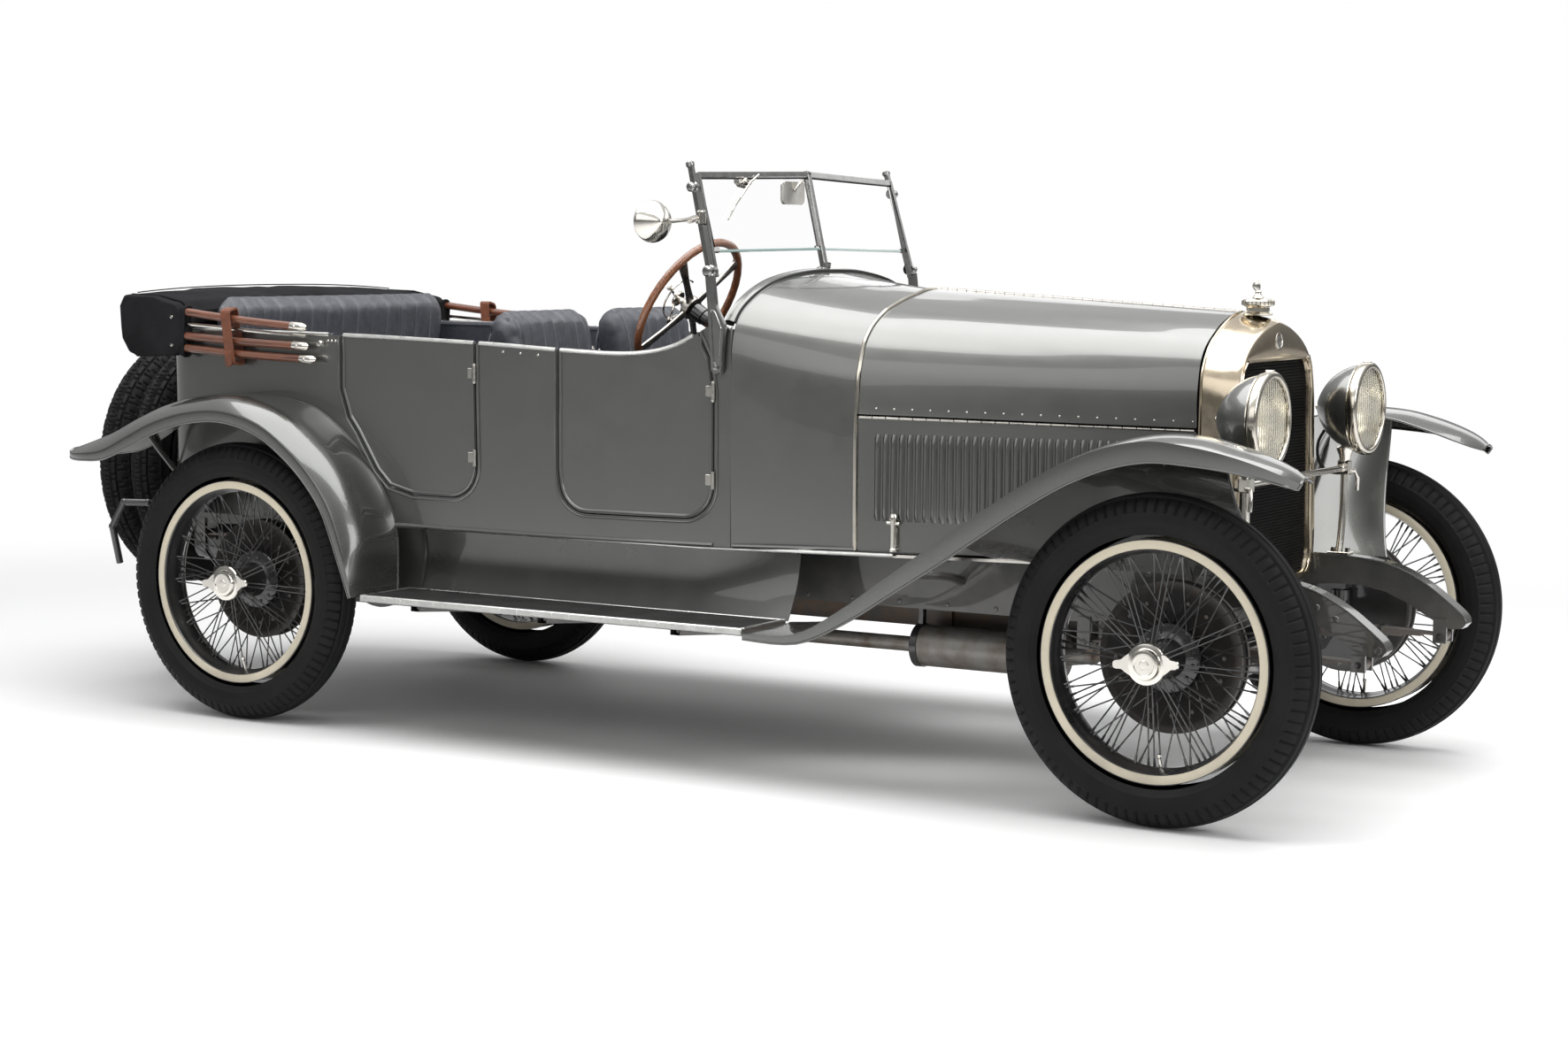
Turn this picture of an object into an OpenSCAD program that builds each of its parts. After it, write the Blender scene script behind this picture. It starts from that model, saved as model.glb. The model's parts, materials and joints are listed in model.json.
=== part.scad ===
// 1920s open touring car: four doors, folded hood, two spare wheels at the tail.
// X runs forward, Y to the car's left, Z up. Millimetres.

/* [Overall] */
// Distance between the front and rear axles
wheelbase = 2930; // [2600:10:3520]
// Distance between the left and right tyre centres
track = 1396; // [1340:2:1680]
// Outside diameter of a tyre
tyre_d = 820; // [760:5:880]
// Width of a tyre
tyre_w = 120; // [96:2:144]
// Width of the body across the doors
body_w = 1200; // [1000:10:1240]
// Thickness of the body wall and doors
wall_t = 28; // [16:1:40]

/* [Body] */
// Height of the body's lower edge above the ground
sill_z = 592; // [588:1:640]
// Height of the body's top rail beside the rear seat
rail_z = 1137; // [1060:5:1240]
// Gap around each door and bonnet panel
shut_gap = 10; // [8:0.5:14]
// Diameter of the door hinge barrels
hinge_d = 11; // [8:0.5:12]
// Thickness of sheet metal panels
sheet_t = 7; // [4:1:10]
// Height of the running board's top
board_z = 412; // [380:2:440]
// Thickness of the running board
board_t = 19; // [12:1:30]
// Width of the running board
board_w = 228; // [180:2:240]

/* [Wheels] */
// Outside diameter of the rim's edges
rim_d = 594; // [560:2:640]
// Width of the rim across its edges
rim_w = 96; // [76:2:110]
// Number of spokes in each wheel
spokes = 24; // [12:2:36]
// Diameter of the brake drums
drum_d = 376; // [300:2:420]
// Width of the brake drums
drum_w = 46; // [36:2:64]
// Diameter of the hub barrel
hub_d = 92; // [76:2:120]
// Diameter of the stub axles
stub_d = 40; // [30:1:50]

/* [Chassis] */
// Spread between the centres of the two frame rails
frame_w = 622; // [560:2:680]
// Width of a frame rail
rail_w = 46; // [36:1:56]
// Depth of a frame rail below the doors
rail_h = 150; // [110:2:170]
// Radial clearance of turning pins in their bores
pin_fit = 0.06; // [0.02:0.01:0.1]
// Diameter of the kingpins
king_d = 24; // [18:1:32]
// Length of the steering arms on the knuckles
arm_l = 170; // [130:2:200]
// Diameter of the hole for the starting handle
crank_hole_d = 28; // [22:1:36]

/* [Front] */
// Greatest width of the radiator shell
radiator_w = 588; // [500:2:640]
// Diameter of each headlamp's front rim
lamp_d = 250; // [200:2:290]
// Diameter of the steering wheel
hand_wheel_d = 430; // [360:5:480]

/* [Hidden] */
tail_x = -897;
nose_x = 3372;
kx = wheelbase / 2930;
x_mid = (nose_x * kx + tail_x) / 2;
by = body_w / 1200;
ft = track / 2;
tr = tyre_d / 2;
king_y = ft - 153;
rail_y = frame_w / 2;
rail_top = sill_z - 6;
wing_y = ft + 102;
spare_z = tr + 286;
spare_x = [tail_x + tyre_w / 2, tail_x + tyre_w / 2 + tyre_w + 14];
paint = [0.50, 0.50, 0.48];
black = [0.10, 0.10, 0.11];
nickel = [0.82, 0.76, 0.62];

// ---- helpers ----
function unit(v) = v / max(norm(v), 0.000001);
function lerp(a, b, t) = a + (b - a) * t;
function X(x) = x * kx;
function gn(P, i, j) = unit(cross(
  P[min(i + 1, len(P) - 1)][j] - P[max(i - 1, 0)][j],
  P[i][min(j + 1, len(P[0]) - 1)] - P[i][max(j - 1, 0)]));
function flip(f) = [for (q = f) [q[2], q[1], q[0]]];
function mid(p) = [for (i = [0:len(p) - 2]) each [p[i], (p[i] + p[i + 1]) / 2]];
// Smooth curve through the points of a list, n steps between each pair.
function cr(p, n) = [for (i = [0:len(p) - 2]) for (s = [0:n - 1]) let (
    t = s / n, a = p[max(i - 1, 0)], b = p[i], c = p[i + 1], d = p[min(i + 2, len(p) - 1)])
  0.5 * ((2 * b) + (c - a) * t + (2 * a - 5 * b + 4 * c - d) * t * t + (3 * b - a - 3 * c + d) * t * t * t), p[len(p) - 1]];

// Closed sheet of thickness t laid on a grid of points.
module sheet(P, t) {
  m = len(P);
  k = len(P[0]);
  top = [for (i = [0:m - 1]) for (j = [0:k - 1]) P[i][j]];
  low = [for (i = [0:m - 1]) for (j = [0:k - 1]) P[i][j] - t * gn(P, i, j)];
  o = m * k;
  f = concat(
    [for (i = [0:m - 2]) for (j = [0:k - 2]) let (a = i * k + j, b = a + k)
      each [[a, a + 1, b + 1], [a, b + 1, b], [o + a, o + b + 1, o + a + 1], [o + a, o + b, o + b + 1]]],
    [for (i = [0:m - 2]) let (a = i * k, b = a + k, c = a + k - 1, d = b + k - 1)
      each [[a, b, o + b], [a, o + b, o + a], [c, o + d, d], [c, o + c, o + d]]],
    [for (j = [0:k - 2]) let (a = j, b = (m - 1) * k + j)
      each [[a, o + a + 1, a + 1], [a, o + a, o + a + 1], [b, b + 1, o + b + 1], [b, o + b + 1, o + b]]]);
  polyhedron(concat(top, low), t > 0 ? f : flip(f), convexity = 8);
}

// Solid through a list of rings that all have the same number of points.
module loft(R) {
  m = len(R);
  k = len(R[0]);
  f = concat(
    [for (i = [0:m - 2]) for (j = [0:k - 1]) let (a = i * k + j, b = i * k + (j + 1) % k)
      each [[a, b, b + k], [a, b + k, a + k]]],
    [[for (j = [k - 1:-1:0]) j]], [[for (j = [0:k - 1]) (m - 1) * k + j]]);
  polyhedron([for (r = R) each r], f, convexity = 8);
}

// Outline with each corner rounded: entries are [x, y, radius].
function rc(p) = [for (i = [0:len(p) - 1]) let (
    a = p[(i + len(p) - 1) % len(p)], b = p[i], c = p[(i + 1) % len(p)],
    u = unit([a[0] - b[0], a[1] - b[1], 0]), v = unit([c[0] - b[0], c[1] - b[1], 0]),
    ang = acos(max(-1, min(1, u[0] * v[0] + u[1] * v[1]))),
    d = b[2] / tan(ang / 2),
    ctr = [b[0], b[1], 0] + unit(u + v) * (b[2] / sin(ang / 2)),
    n = b[2] > 0 ? 6 : 0,
    p0 = [b[0], b[1], 0] + u * d, p1 = [b[0], b[1], 0] + v * d)
  each (n == 0 ? [[b[0], b[1]]] : [for (q = [0:n]) let (
    w = unit((p0 - ctr) * (1 - q / n) + (p1 - ctr) * (q / n))) [ctr[0] + w[0] * b[2], ctr[1] + w[1] * b[2]]])];

module side(y0, y1) { translate([0, y1, 0]) rotate([90, 0, 0]) linear_extrude(y1 - y0) children(); }
module face(x0, x1) { translate([x0, 0, 0]) rotate([90, 0, 90]) linear_extrude(x1 - x0) children(); }
module both() { children(); mirror([0, 1, 0]) children(); }
module place() { translate([-x_mid, 0, 0]) children(); }
module rod(a, b, d) {
  v = b - a;
  l = norm(v);
  translate(a) rotate([0, acos(v[2] / l), atan2(v[1], v[0])]) cylinder(d = d, h = l, $fn = 24);
}
module bent(p, d) {
  for (i = [0:len(p) - 2]) rod(p[i], p[i + 1], d);
  for (i = [1:len(p) - 2]) translate(p[i]) sphere(d = d * 1.1, $fn = 24);
}

// ---- body wall, doors and floor ----
plan = [[-449, 0], [-449, 300], [-446, 420], [-430, 490], [-400, 545], [-350, 580], [-280, 596], [-150, 600],
  [300, 602], [800, 600], [1068, 596], [1300, 582], [1470, 562], [1602, 546]];
plan_n = [for (i = [0:len(plan) - 1]) let (
    d = unit(plan[min(i + 1, len(plan) - 1)] - plan[max(i - 1, 0)])) i == 0 ? [-1, 0] : [-d[1], d[0]]];
module plan_ring(t) {
  polygon(concat([for (p = plan) [X(p[0]), p[1] * by]],
    [for (i = [len(plan) - 1:-1:0]) [X(plan[i][0] - t * plan_n[i][0]), max(0, plan[i][1] * by - t * plan_n[i][1])]]));
}
rail_line = [[-470, 1136], [-251, 1140], [290, 1137], [771, 1125], [1068, 1112], [1250, 1106], [1349, 1112],
  [1424, 1129], [1482, 1156], [1533, 1186], [1560, 1192], [1602, 1180]];
module wall() {
  intersection() {
    translate([0, 0, sill_z]) linear_extrude(900) plan_ring(wall_t);
    side(-10, 900) polygon(concat([for (p = rail_line) [X(p[0]), p[1] + rail_z - 1137]],
      [[X(1602), sill_z - 5], [X(-600), sill_z - 5], [X(-600), rail_z]]));
  }
}
function outline(front, g) = front
  ? rc([[1068 - g, 1500, 0], [1068 - g, 780, 0], [1082 - g, 664 - g, 90 + g], [1552 + g, 664 - g, 90 + g],
    [1552 + g, 1010, 0], [1540 + g, 1100, 60], [1494 + g, 1190, 0], [1494 + g, 1500, 0]])
  : rc([[300 - g, 1500, 0], [300 - g, 980, 30], [328 - g, 900, 20], [359 - g, 860 - g, 20], [428 - g, 752 - g, 40],
    [476 - g, 706 - g, 20], [560 - g, 686 - g, 60], [790 + g, 686 - g, 90 + g], [784 + g, 1000, 0], [784 + g, 1500, 0]]);
module opening(front, g) { side(300, 900) polygon([for (p = outline(front, g)) [X(p[0]), p[1]]]); }
module door(front) {
  intersection() {
    wall();
    opening(front, -shut_gap / 2);
  }
  p = front ? [X(1554), 560 * by] : [X(783), 604 * by];
  for (z = front ? [772, 1012] : [802, 1040]) {
    translate([p[0], p[1], z - 24]) cylinder(d = hinge_d, h = 48, $fn = 32);
    translate([p[0] - 30, p[1] - (front ? 15 : 9), z - 15]) cube([30, front ? 13 : 7, 30]);
  }
}
module body_tub() color(paint) place() difference() {
  both() wall();
  both() {
    opening(true, shut_gap / 2);
    opening(false, shut_gap / 2);
  }
}
module front_left_door() color(paint) place() door(true);
module front_right_door() color(paint) place() mirror([0, 1, 0]) door(true);
module rear_left_door() color(paint) place() door(false);
module rear_right_door() color(paint) place() mirror([0, 1, 0]) door(false);
module floor() color([0.15, 0.14, 0.13]) place() translate([0, 0, sill_z]) linear_extrude(14) both()
  polygon(concat([[X(plan[0][0] + wall_t + 1), -5]],
    [for (i = [1:len(plan) - 2]) [X(plan[i][0]) - (wall_t + 1) * plan_n[i][0], plan[i][1] * by - (wall_t + 1) * plan_n[i][1]]],
    [[X(1890), 430], [X(1890), -5]]));

// ---- cowl and dashboard ----
cowl_back = [[0, 1331], [90, 1330], [170, 1325], [252, 1315], [326, 1301], [392, 1280], [440, 1259], [482, 1235],
  [510, 1211], [530, 1180], [542, 1130], [547, 1060], [548, 900], [546, 740], [544, 593]];
cowl_front = [[0, 1286], [60, 1282], [118, 1271], [180, 1258], [233, 1244], [280, 1230], [315, 1214], [348, 1195],
  [373, 1175], [400, 1143], [424, 1082], [434, 1030], [441, 890], [441, 740], [440, 593]];
function cowl_row(t) = let (h = [for (i = [0:14]) let (w = t + 0.35 * t * (1 - t),
    p = lerp(cowl_back[i], cowl_front[i], w)) [X(lerp(1606, 1928, t)), p[0] * lerp(by, 1, t), max(p[1], sill_z + 1)]])
  concat([for (i = [14:-1:1]) h[i]], [for (i = [0:14]) [h[i][0], -h[i][1], h[i][2]]]);
module cowl() color(paint) place() {
  sheet([for (t = [0:0.125:1]) cowl_row(t)], -12);
  difference() {
    face(X(1900), X(1910)) polygon([for (i = [1:28]) let (p = cowl_row(0.93)[i]) [p[1] * 0.98, (p[2] - 600) * 0.985 + 600]]);
    column_hole();
  }
}
module dashboard() color([0.3, 0.18, 0.1]) place() difference() {
  face(X(1640), X(1640) + 20) intersection() {
    polygon([for (i = [1:28]) let (p = cowl_row(0.19)[i]) [p[1] * 0.965, (p[2] - 600) * 0.975 + 600]]);
    translate([-600, 1020]) square([1200, 600]);
  }
  column_hole();
}

// ---- steering column and hand wheel ----
hub = [X(1318), -320, 1235];
col_dir = [cos(30), 0, -sin(30)];
module column_hole() { rod(hub + col_dir * 200, hub + col_dir * 1000, 60); }
module steering_column() color(black) place() {
  rod(hub + col_dir * 26, hub + col_dir * 880, 44);
  translate([hub[0] + 700, -345, rail_top + 1]) cube([110, 60, 240]);
}
module steering_wheel() color([0.4, 0.2, 0.1]) place() translate(hub) rotate([0, 120, 0]) difference() {
  union() {
    rotate_extrude($fn = 72) translate([hand_wheel_d / 2 - 13, 0]) circle(d = 26, $fn = 24);
    for (a = [45:90:315]) rotate([0, 0, a]) translate([20, -11, -4]) cube([hand_wheel_d / 2 - 32, 22, 8]);
    translate([0, 0, -14]) cylinder(d = 66, h = 28);
  }
  translate([0, 0, 8]) cylinder(d = 40, h = 20);
}

module controls() color(black) place() {
  for (y = [-390, -310, -240]) {
    bent([[X(1640), y, sill_z + 17], [X(1622), y, 676], [X(1592), y, 730]], 14);
    translate([X(1592), y, 736]) rotate([0, -60, 0]) translate([-26, -28, -6]) cube([52, 56, 10]);
  }
  bent([[X(1400), -100, sill_z + 17], [X(1382), -102, 716], [X(1350), -105, 836]], 18);
  translate([X(1350), -105, 846]) sphere(d = 40);
  bent([[X(1440), -150, sill_z + 17], [X(1412), -152, 738], [X(1372), -154, 890]], 18);
}

// ---- bonnet ----
bonnet_back = [[0, 1288], [60, 1283], [118, 1272], [180, 1259], [233, 1245], [280, 1231], [315, 1215], [348, 1196],
  [373, 1176], [400, 1144], [422, 1090], [433, 1030], [441, 955]];
bonnet_front = [[0, 1240], [45, 1231], [88, 1218], [127, 1203], [163, 1184], [195, 1165], [219, 1145], [235, 1124],
  [245, 1100], [253, 1066], [258, 1030], [260, 985], [260, 942]];
bx0 = 1932;
bx1 = 2832;
bg = shut_gap / 2;
steps = [0, 0.17, 0.33, 0.5, 0.67, 0.83, 1];
function bt(t) = lerp(X(bx0) + bg, X(bx1) - bg, t);
module bonnet_top() sheet([for (t = steps) [for (i = [0:12]) let (p = lerp(bonnet_back[i], bonnet_front[i], t))
  [bt(t), i == 0 ? bg - 1 : p[0], i == 12 ? p[1] + bg : p[1]]]], sheet_t);
module bonnet_side() sheet([for (t = steps) let (p = lerp(bonnet_back[12], bonnet_front[12], t))
  [for (u = [0:4]) [bt(t), p[0], lerp(p[1] - bg, sill_z + 3, u / 4)]]], sheet_t);
module bonnet_rod() color(nickel) place() rod([X(1937) - 4, 0, bonnet_back[0][1]], [X(2827) + 4, 0, bonnet_front[0][1]], 5);
module bonnet_top_left() color(paint) place() bonnet_top();
module bonnet_top_right() color(paint) place() mirror([0, 1, 0]) bonnet_top();
module bonnet_side_left() color(paint) place() bonnet_side();
module bonnet_side_right() color(paint) place() mirror([0, 1, 0]) bonnet_side();

// ---- radiator ----
rw = radiator_w / 588;
rad_front = cr([[0, 1217], [70, 1203], [120, 1187], [165, 1168], [205, 1143], [235, 1112], [253, 1080], [264, 1040],
  [270, 1000], [281, 837], [291, 700], [293, 620], [286, 572], [262, 536], [215, 520]], 2);
rad_back = cr([[0, 1240], [50, 1230], [95, 1216], [135, 1199], [170, 1180], [205, 1155], [228, 1128], [245, 1098],
  [257, 1050], [262, 837], [268, 700], [270, 620], [264, 572], [240, 540], [200, 524]], 2);
function ring(p, x, k) = let (q = [for (a = p) [x, a[0] * rw * k, (a[1] - 880) * k + 880]])
  concat([for (i = [len(q) - 1:-1:1]) [q[i][0], -q[i][1], q[i][2]]], q);
grille = rc([[-262, 538, 46], [262, 538, 46], [246, 1040, 240], [232, 1117, 52], [-232, 1117, 52], [-246, 1040, 240]]);
module radiator_shell() color(nickel) place() difference() {
  loft([ring(rad_back, X(2838), 1), ring(lerp(rad_back, rad_front, 0.5), X(2838) + 53, 1.002),
    ring(lerp(rad_back, rad_front, 0.93), X(2838) + 100, 1), ring(rad_front, X(2838) + 106, 0.985)]);
  face(X(2800), X(3000)) polygon([for (p = grille) [p[0] * rw, p[1]]]);
  translate([X(2838) + 46, 0, 1228]) cylinder(d = 75, h = 40);
}
module radiator_core() color([0.05, 0.05, 0.05]) place() face(X(2838) + 24, X(2838) + 92)
  polygon([for (p = grille) [p[0] * rw * 0.985, (p[1] - 827) * 0.985 + 827]]);
module radiator_cap() color(nickel) place() translate([X(2838) + 46, 0, 1228]) {
  translate([0, 0, 1]) cylinder(d = 74, h = 14);
  translate([0, 0, 14]) cylinder(d = 60, h = 14);
  translate([0, 0, 27]) cylinder(d = 84, h = 14);
  translate([0, 0, 40]) cylinder(d = 40, h = 6);
  translate([0, 0, 45]) cylinder(d1 = 16, d2 = 34, h = 36);
  translate([0, 0, 80]) sphere(d = 36);
}

// ---- chassis ----
module chassis_frame() color(black) place() {
  both() side(rail_y - rail_w / 2, rail_y + rail_w / 2) polygon([for (p = [[-640, rail_top - 4], [-640, 520],
    [-420, 526], [-300, 532], [300, 532], [520, 520], [700, rail_top - rail_h], [2560, rail_top - rail_h],
    [2760, 470], [2900, 496], [3000, 506], [3084, 506], [3150, 492], [3210, 466], [3297, 416], [3330, 404], [3360, 408],
    [3372, 422], [3366, 440], [3320, 478], [3260, 521], [3200, 552], [3134, 572], [3040, rail_top - 4], [2929, rail_top]])
    [X(p[0]), p[1]]]);
  for (x = [-620, -230, 640, 1440, 1920]) translate([X(x), -rail_y, rail_top - 44]) cube([60, frame_w, 36]);
  both() for (e = [[X(2930) - 372, 384, 450], [X(2930) + 372, 384, 430], [-500, 486, 540], [500, 486, 540]]) for (k = [-1, 1])
    translate([e[0] - 18, rail_y + (k > 0 ? 20.5 : -30), e[1] - 18]) cube([36, 9.5, e[2] - e[1] + 18]);
}
module handle_guide() color(black) place() difference() {
  translate([X(2838) + 10, rail_w / 2 + 0.5 - rail_y, 450]) cube([70, frame_w - rail_w - 1, 69]);
  translate([X(2838), 0, 480]) rotate([0, 90, 0]) cylinder(d = crank_hole_d, h = 120, $fn = 48);
}
module front_axle() color(black) place() translate([X(2930), 0, 0]) {
  difference() {
    union() {
      face(-24, 24) polygon(concat(axle_line(23), [for (i = [len(axle_line(-23)) - 1:-1:0]) axle_line(-23)[i]]));
      both() translate([0, king_y, tr - 48]) cylinder(d = king_d + 28, h = 96);
    }
    both() translate([0, king_y, tr - 60]) cylinder(d = king_d, h = 120, $fn = 48);
  }
}
function axle_line(h) = let (q = [[king_y, tr], [king_y - 40, tr - 8], [rail_y + 60, 338], [rail_y - 60, 334], [0, 334]])
  concat([for (p = q) [p[0], p[1] + h]], [for (i = [3:-1:0]) [-q[i][0], q[i][1] + h]]);
module rear_axle() color(black) place() translate([0, 0, tr]) {
  union() {
    rotate([90, 0, 0]) cylinder(d = 84, h = 2 * (ft - 130), center = true);
    rotate([90, 0, 0]) cylinder(d = 290, h = 150, center = true);
    rotate([90, 0, 0]) cylinder(d = 200, h = 250, center = true);
    both() rotate([-90, 0, 0]) translate([0, 0, ft - 130]) cylinder(d = drum_d - 44, h = 12, $fn = 72);
    both() translate([-60, rail_y - 22, 30]) cube([120, 44, 23]);
    both() rotate([-90, 0, 0]) translate([0, 0, ft - 131]) cylinder(d = stub_d, h = 190, $fn = 48);
    rod([100, 0, 0], [X(1460), 0, 92], 80);
  }
}
function leaf(x, l, ze, zc, s) = concat(
  [for (i = [0:16]) let (u = i / 8 - 1) [x + u * l, lerp(ze, zc, 1 - u * u) + 5]],
  [for (i = [16:-1:0]) let (u = i / 8 - 1) [x + u * l, lerp(ze, zc, 1 - u * u) - 5 - s * (1 - abs(u))]]);
module spring(x, l, ze, zc, s) both() {
  side(rail_y - 20, rail_y + 20) polygon(leaf(x, l, ze, zc, s));
  translate([x, rail_y, ze]) for (k = [-l, l]) translate([k, 0, 0]) rotate([90, 0, 0]) cylinder(d = 34, h = 40, center = true);
}
module leaf_springs() color(black) place() {
  spring(X(2930), 372, 384, 394, 27);
  spring(0, 500, 486, 502, 34);
}
module engine_block() color([0.3, 0.3, 0.3]) place() {
  translate([X(2060), -150, 430]) cube([X(2740) - X(2060), 300, 640]);
  translate([X(2060), -120, 300]) cube([X(2560) - X(2060), 240, 131]);
  translate([X(1540), -130, 360]) cube([X(2061) - X(1540), 260, 172]);
  translate([X(1470), 0, 502]) rotate([0, 90, 0]) cylinder(d = 60, h = X(1545) - X(1470));
}
module exhaust() color([0.25, 0.22, 0.2]) place() {
  rod([X(2000), -205, 318], [X(2440), -205, 318], 114);
  rod([X(-520), -205, 318], [X(2005), -205, 318], 42);
  bent([[X(2430), -205, 318], [X(2520), -205, 330], [X(2600), -205, 560], [X(2560), -205, 800]], 48);
  translate([X(2120), -235, 800]) cube([X(2640) - X(2120), 66, 90]);
}
module fuel_tank() color([0.15, 0.15, 0.16]) place() face(X(-600), X(-340))
  polygon(rc([[-262, 400, 40], [262, 400, 40], [262, 535, 40], [-262, 535, 40]]));
module left_knuckle() color([0.2, 0.2, 0.2]) place() translate([X(2930), king_y, tr]) {
  translate([0, 0, -74]) cylinder(d = king_d - 2 * pin_fit, h = 148, $fn = 48);
  for (z = [-70, 53]) translate([-22, -24, z]) cube([44, 60, 17]);
  translate([-34, 32, -70]) cube([68, 14, 140]);
  translate([0, 30, 0]) rotate([-90, 0, 0]) cylinder(d = drum_d - 12, h = 5, $fn = 72);
  rotate([-90, 0, 0]) translate([0, 0, 40]) cylinder(d = stub_d, h = 172, $fn = 48);
  translate([-arm_l - 18, -13, -70]) cube([arm_l, 26, 17]);
  translate([-arm_l, 0, -112]) cylinder(d = 16 - 2 * pin_fit, h = 44, $fn = 48);
}
module right_knuckle() mirror([0, 1, 0]) left_knuckle();
module track_rod() color([0.2, 0.2, 0.2]) place() difference() {
  union() {
    rod([X(2930) - arm_l, -king_y, tr - 96], [X(2930) - arm_l, king_y, tr - 96], 26);
    both() translate([X(2930) - arm_l, king_y, tr - 112]) cylinder(d = 36, h = 36);
  }
  both() translate([X(2930) - arm_l, king_y, tr - 120]) cylinder(d = 16, h = 60, $fn = 48);
}

// ---- wings, boards and aprons ----
// Each wing station: outer edge x and z, crown x and z, inner edge x and z, depth of the outer lip, y limits.
function wing_row(s, t) = let (
    yo = s[7], yi = s[8], n = unit([t[1], -t[0]]), o = [s[0], s[1]], c = [s[2], s[3]], e = [s[4], s[5]])
  concat(
    [[o[0] + n[0] * s[6], yo - 3, o[1] + n[1] * s[6]], [o[0] + n[0] * s[6] * 0.45, yo, o[1] + n[1] * s[6] * 0.45]],
    [for (v = [0, 0.06, 0.15, 0.3, 0.5, 0.75, 1]) let (
      a = v < 0.5 ? pow(1 - v * 2, 2.6) : 0, b = v > 0.5 ? pow((v - 0.5) * 2, 2) : 0,
      p = c + (o - c) * a + (e - c) * b) [p[0], lerp(yo - 3 * v, yi, v), p[1]]]);
function wing_grid(W) = [for (i = [0:len(W) - 1]) let (
    a = W[max(i - 1, 0)], b = W[min(i + 1, len(W) - 1)], d = [b[0] - a[0], b[1] - a[1]],
    r = wing_row(W[i], unit(d))) [for (p = r) [X(p[0]), p[1] * ft / 698, p[2]]]];
front_wing = cr([
  [1798, 400, 1798, 402, 1798, 404, 14, 800, 560],
  [1955, 411, 1955, 416, 1955, 424, 24, 800, 566],
  [2087, 480, 2087, 487, 2087, 492, 34, 800, 575],
  [2214, 568, 2214, 576, 2214, 580, 42, 800, 582],
  [2340, 654, 2340, 663, 2340, 668, 48, 800, 588],
  [2463, 738, 2463, 748, 2463, 752, 50, 800, 592],
  [2583, 815, 2583, 827, 2583, 832, 50, 800, 594],
  [2701, 881, 2705, 894, 2705, 896, 50, 800, 596],
  [2818, 927, 2822, 939, 2822, 938, 50, 800, 597],
  [2932, 948, 2934, 961, 2934, 951, 50, 800, 598],
  [3046, 938, 3046, 957, 3046, 938, 44, 800, 600],
  [3140, 920, 3140, 935, 3140, 912, 36, 797, 604],
  [3215, 896, 3215, 910, 3215, 886, 28, 780, 614],
  [3262, 875, 3262, 888, 3262, 868, 22, 756, 634],
  [3290, 858, 3290, 868, 3290, 858, 16, 726, 660]], 2);
module front_wings() color(paint) place() both() sheet(wing_grid(front_wing), -sheet_t);
rear_wing = cr([
  [488, 402, 496, 402, 504, 404, 10, 798, 608],
  [474, 470, 492, 482, 506, 500, 20, 799, 607],
  [452, 540, 482, 575, 497, 600, 24, 800, 606],
  [408, 652, 438, 685, 459, 692, 28, 800, 606],
  [345, 738, 376, 775, 399, 772, 30, 800, 606],
  [262, 812, 285, 850, 299, 864, 30, 800, 606],
  [150, 880, 165, 922, 178, 932, 30, 800, 606],
  [12, 914, 12, 961, 12, 957, 30, 800, 606],
  [-130, 906, -130, 954, -130, 947, 30, 800, 606],
  [-260, 872, -260, 926, -260, 896, 30, 800, 606],
  [-370, 824, -370, 884, -370, 830, 28, 800, 612],
  [-470, 780, -470, 838, -470, 780, 24, 800, 612],
  [-560, 768, -560, 806, -560, 762, 20, 792, 616],
  [-625, 764, -625, 786, -625, 762, 16, 768, 640],
  [-655, 768, -655, 776, -655, 768, 12, 740, 676]], 2);
module rear_wings() color(paint) place() both() sheet(wing_grid(rear_wing), sheet_t);
module running_boards() color([0.2, 0.2, 0.2]) place() both()
  translate([X(512), 560, board_z - board_t]) cube([X(1790) - X(512), board_w, board_t]);
module valances() color([0.4, 0.4, 0.4]) place() both() {
  sheet([for (x = [520, 800, 1100, 1400, 1600, 1790]) [for (u = [0, 0.25, 0.5, 0.75, 1])
    let (b = x > 1500 ? 546 - (x - 1500) * 0.2 : 546) [X(x), lerp(554, b, u) - 14 * sin(180 * u), lerp(board_z - 6, sill_z - 6, u)]]], 5);
  sheet([for (i = [8:2:20]) let (p = wing_grid(front_wing)[i][8], k = max(0, (i - 14) / 6)) [for (u = [0:0.125:1])
    [p[0] + 84 * k * pow(u, 2.2), lerp(p[1] - 5, rail_y + rail_w / 2 + 6, k > 0 ? lerp(u, pow(u, 1.5), k) : u),
    lerp(p[2] - 8, rail_top - 8, u) - 90 * k * u * (1 - u)]]], 5);
}

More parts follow.
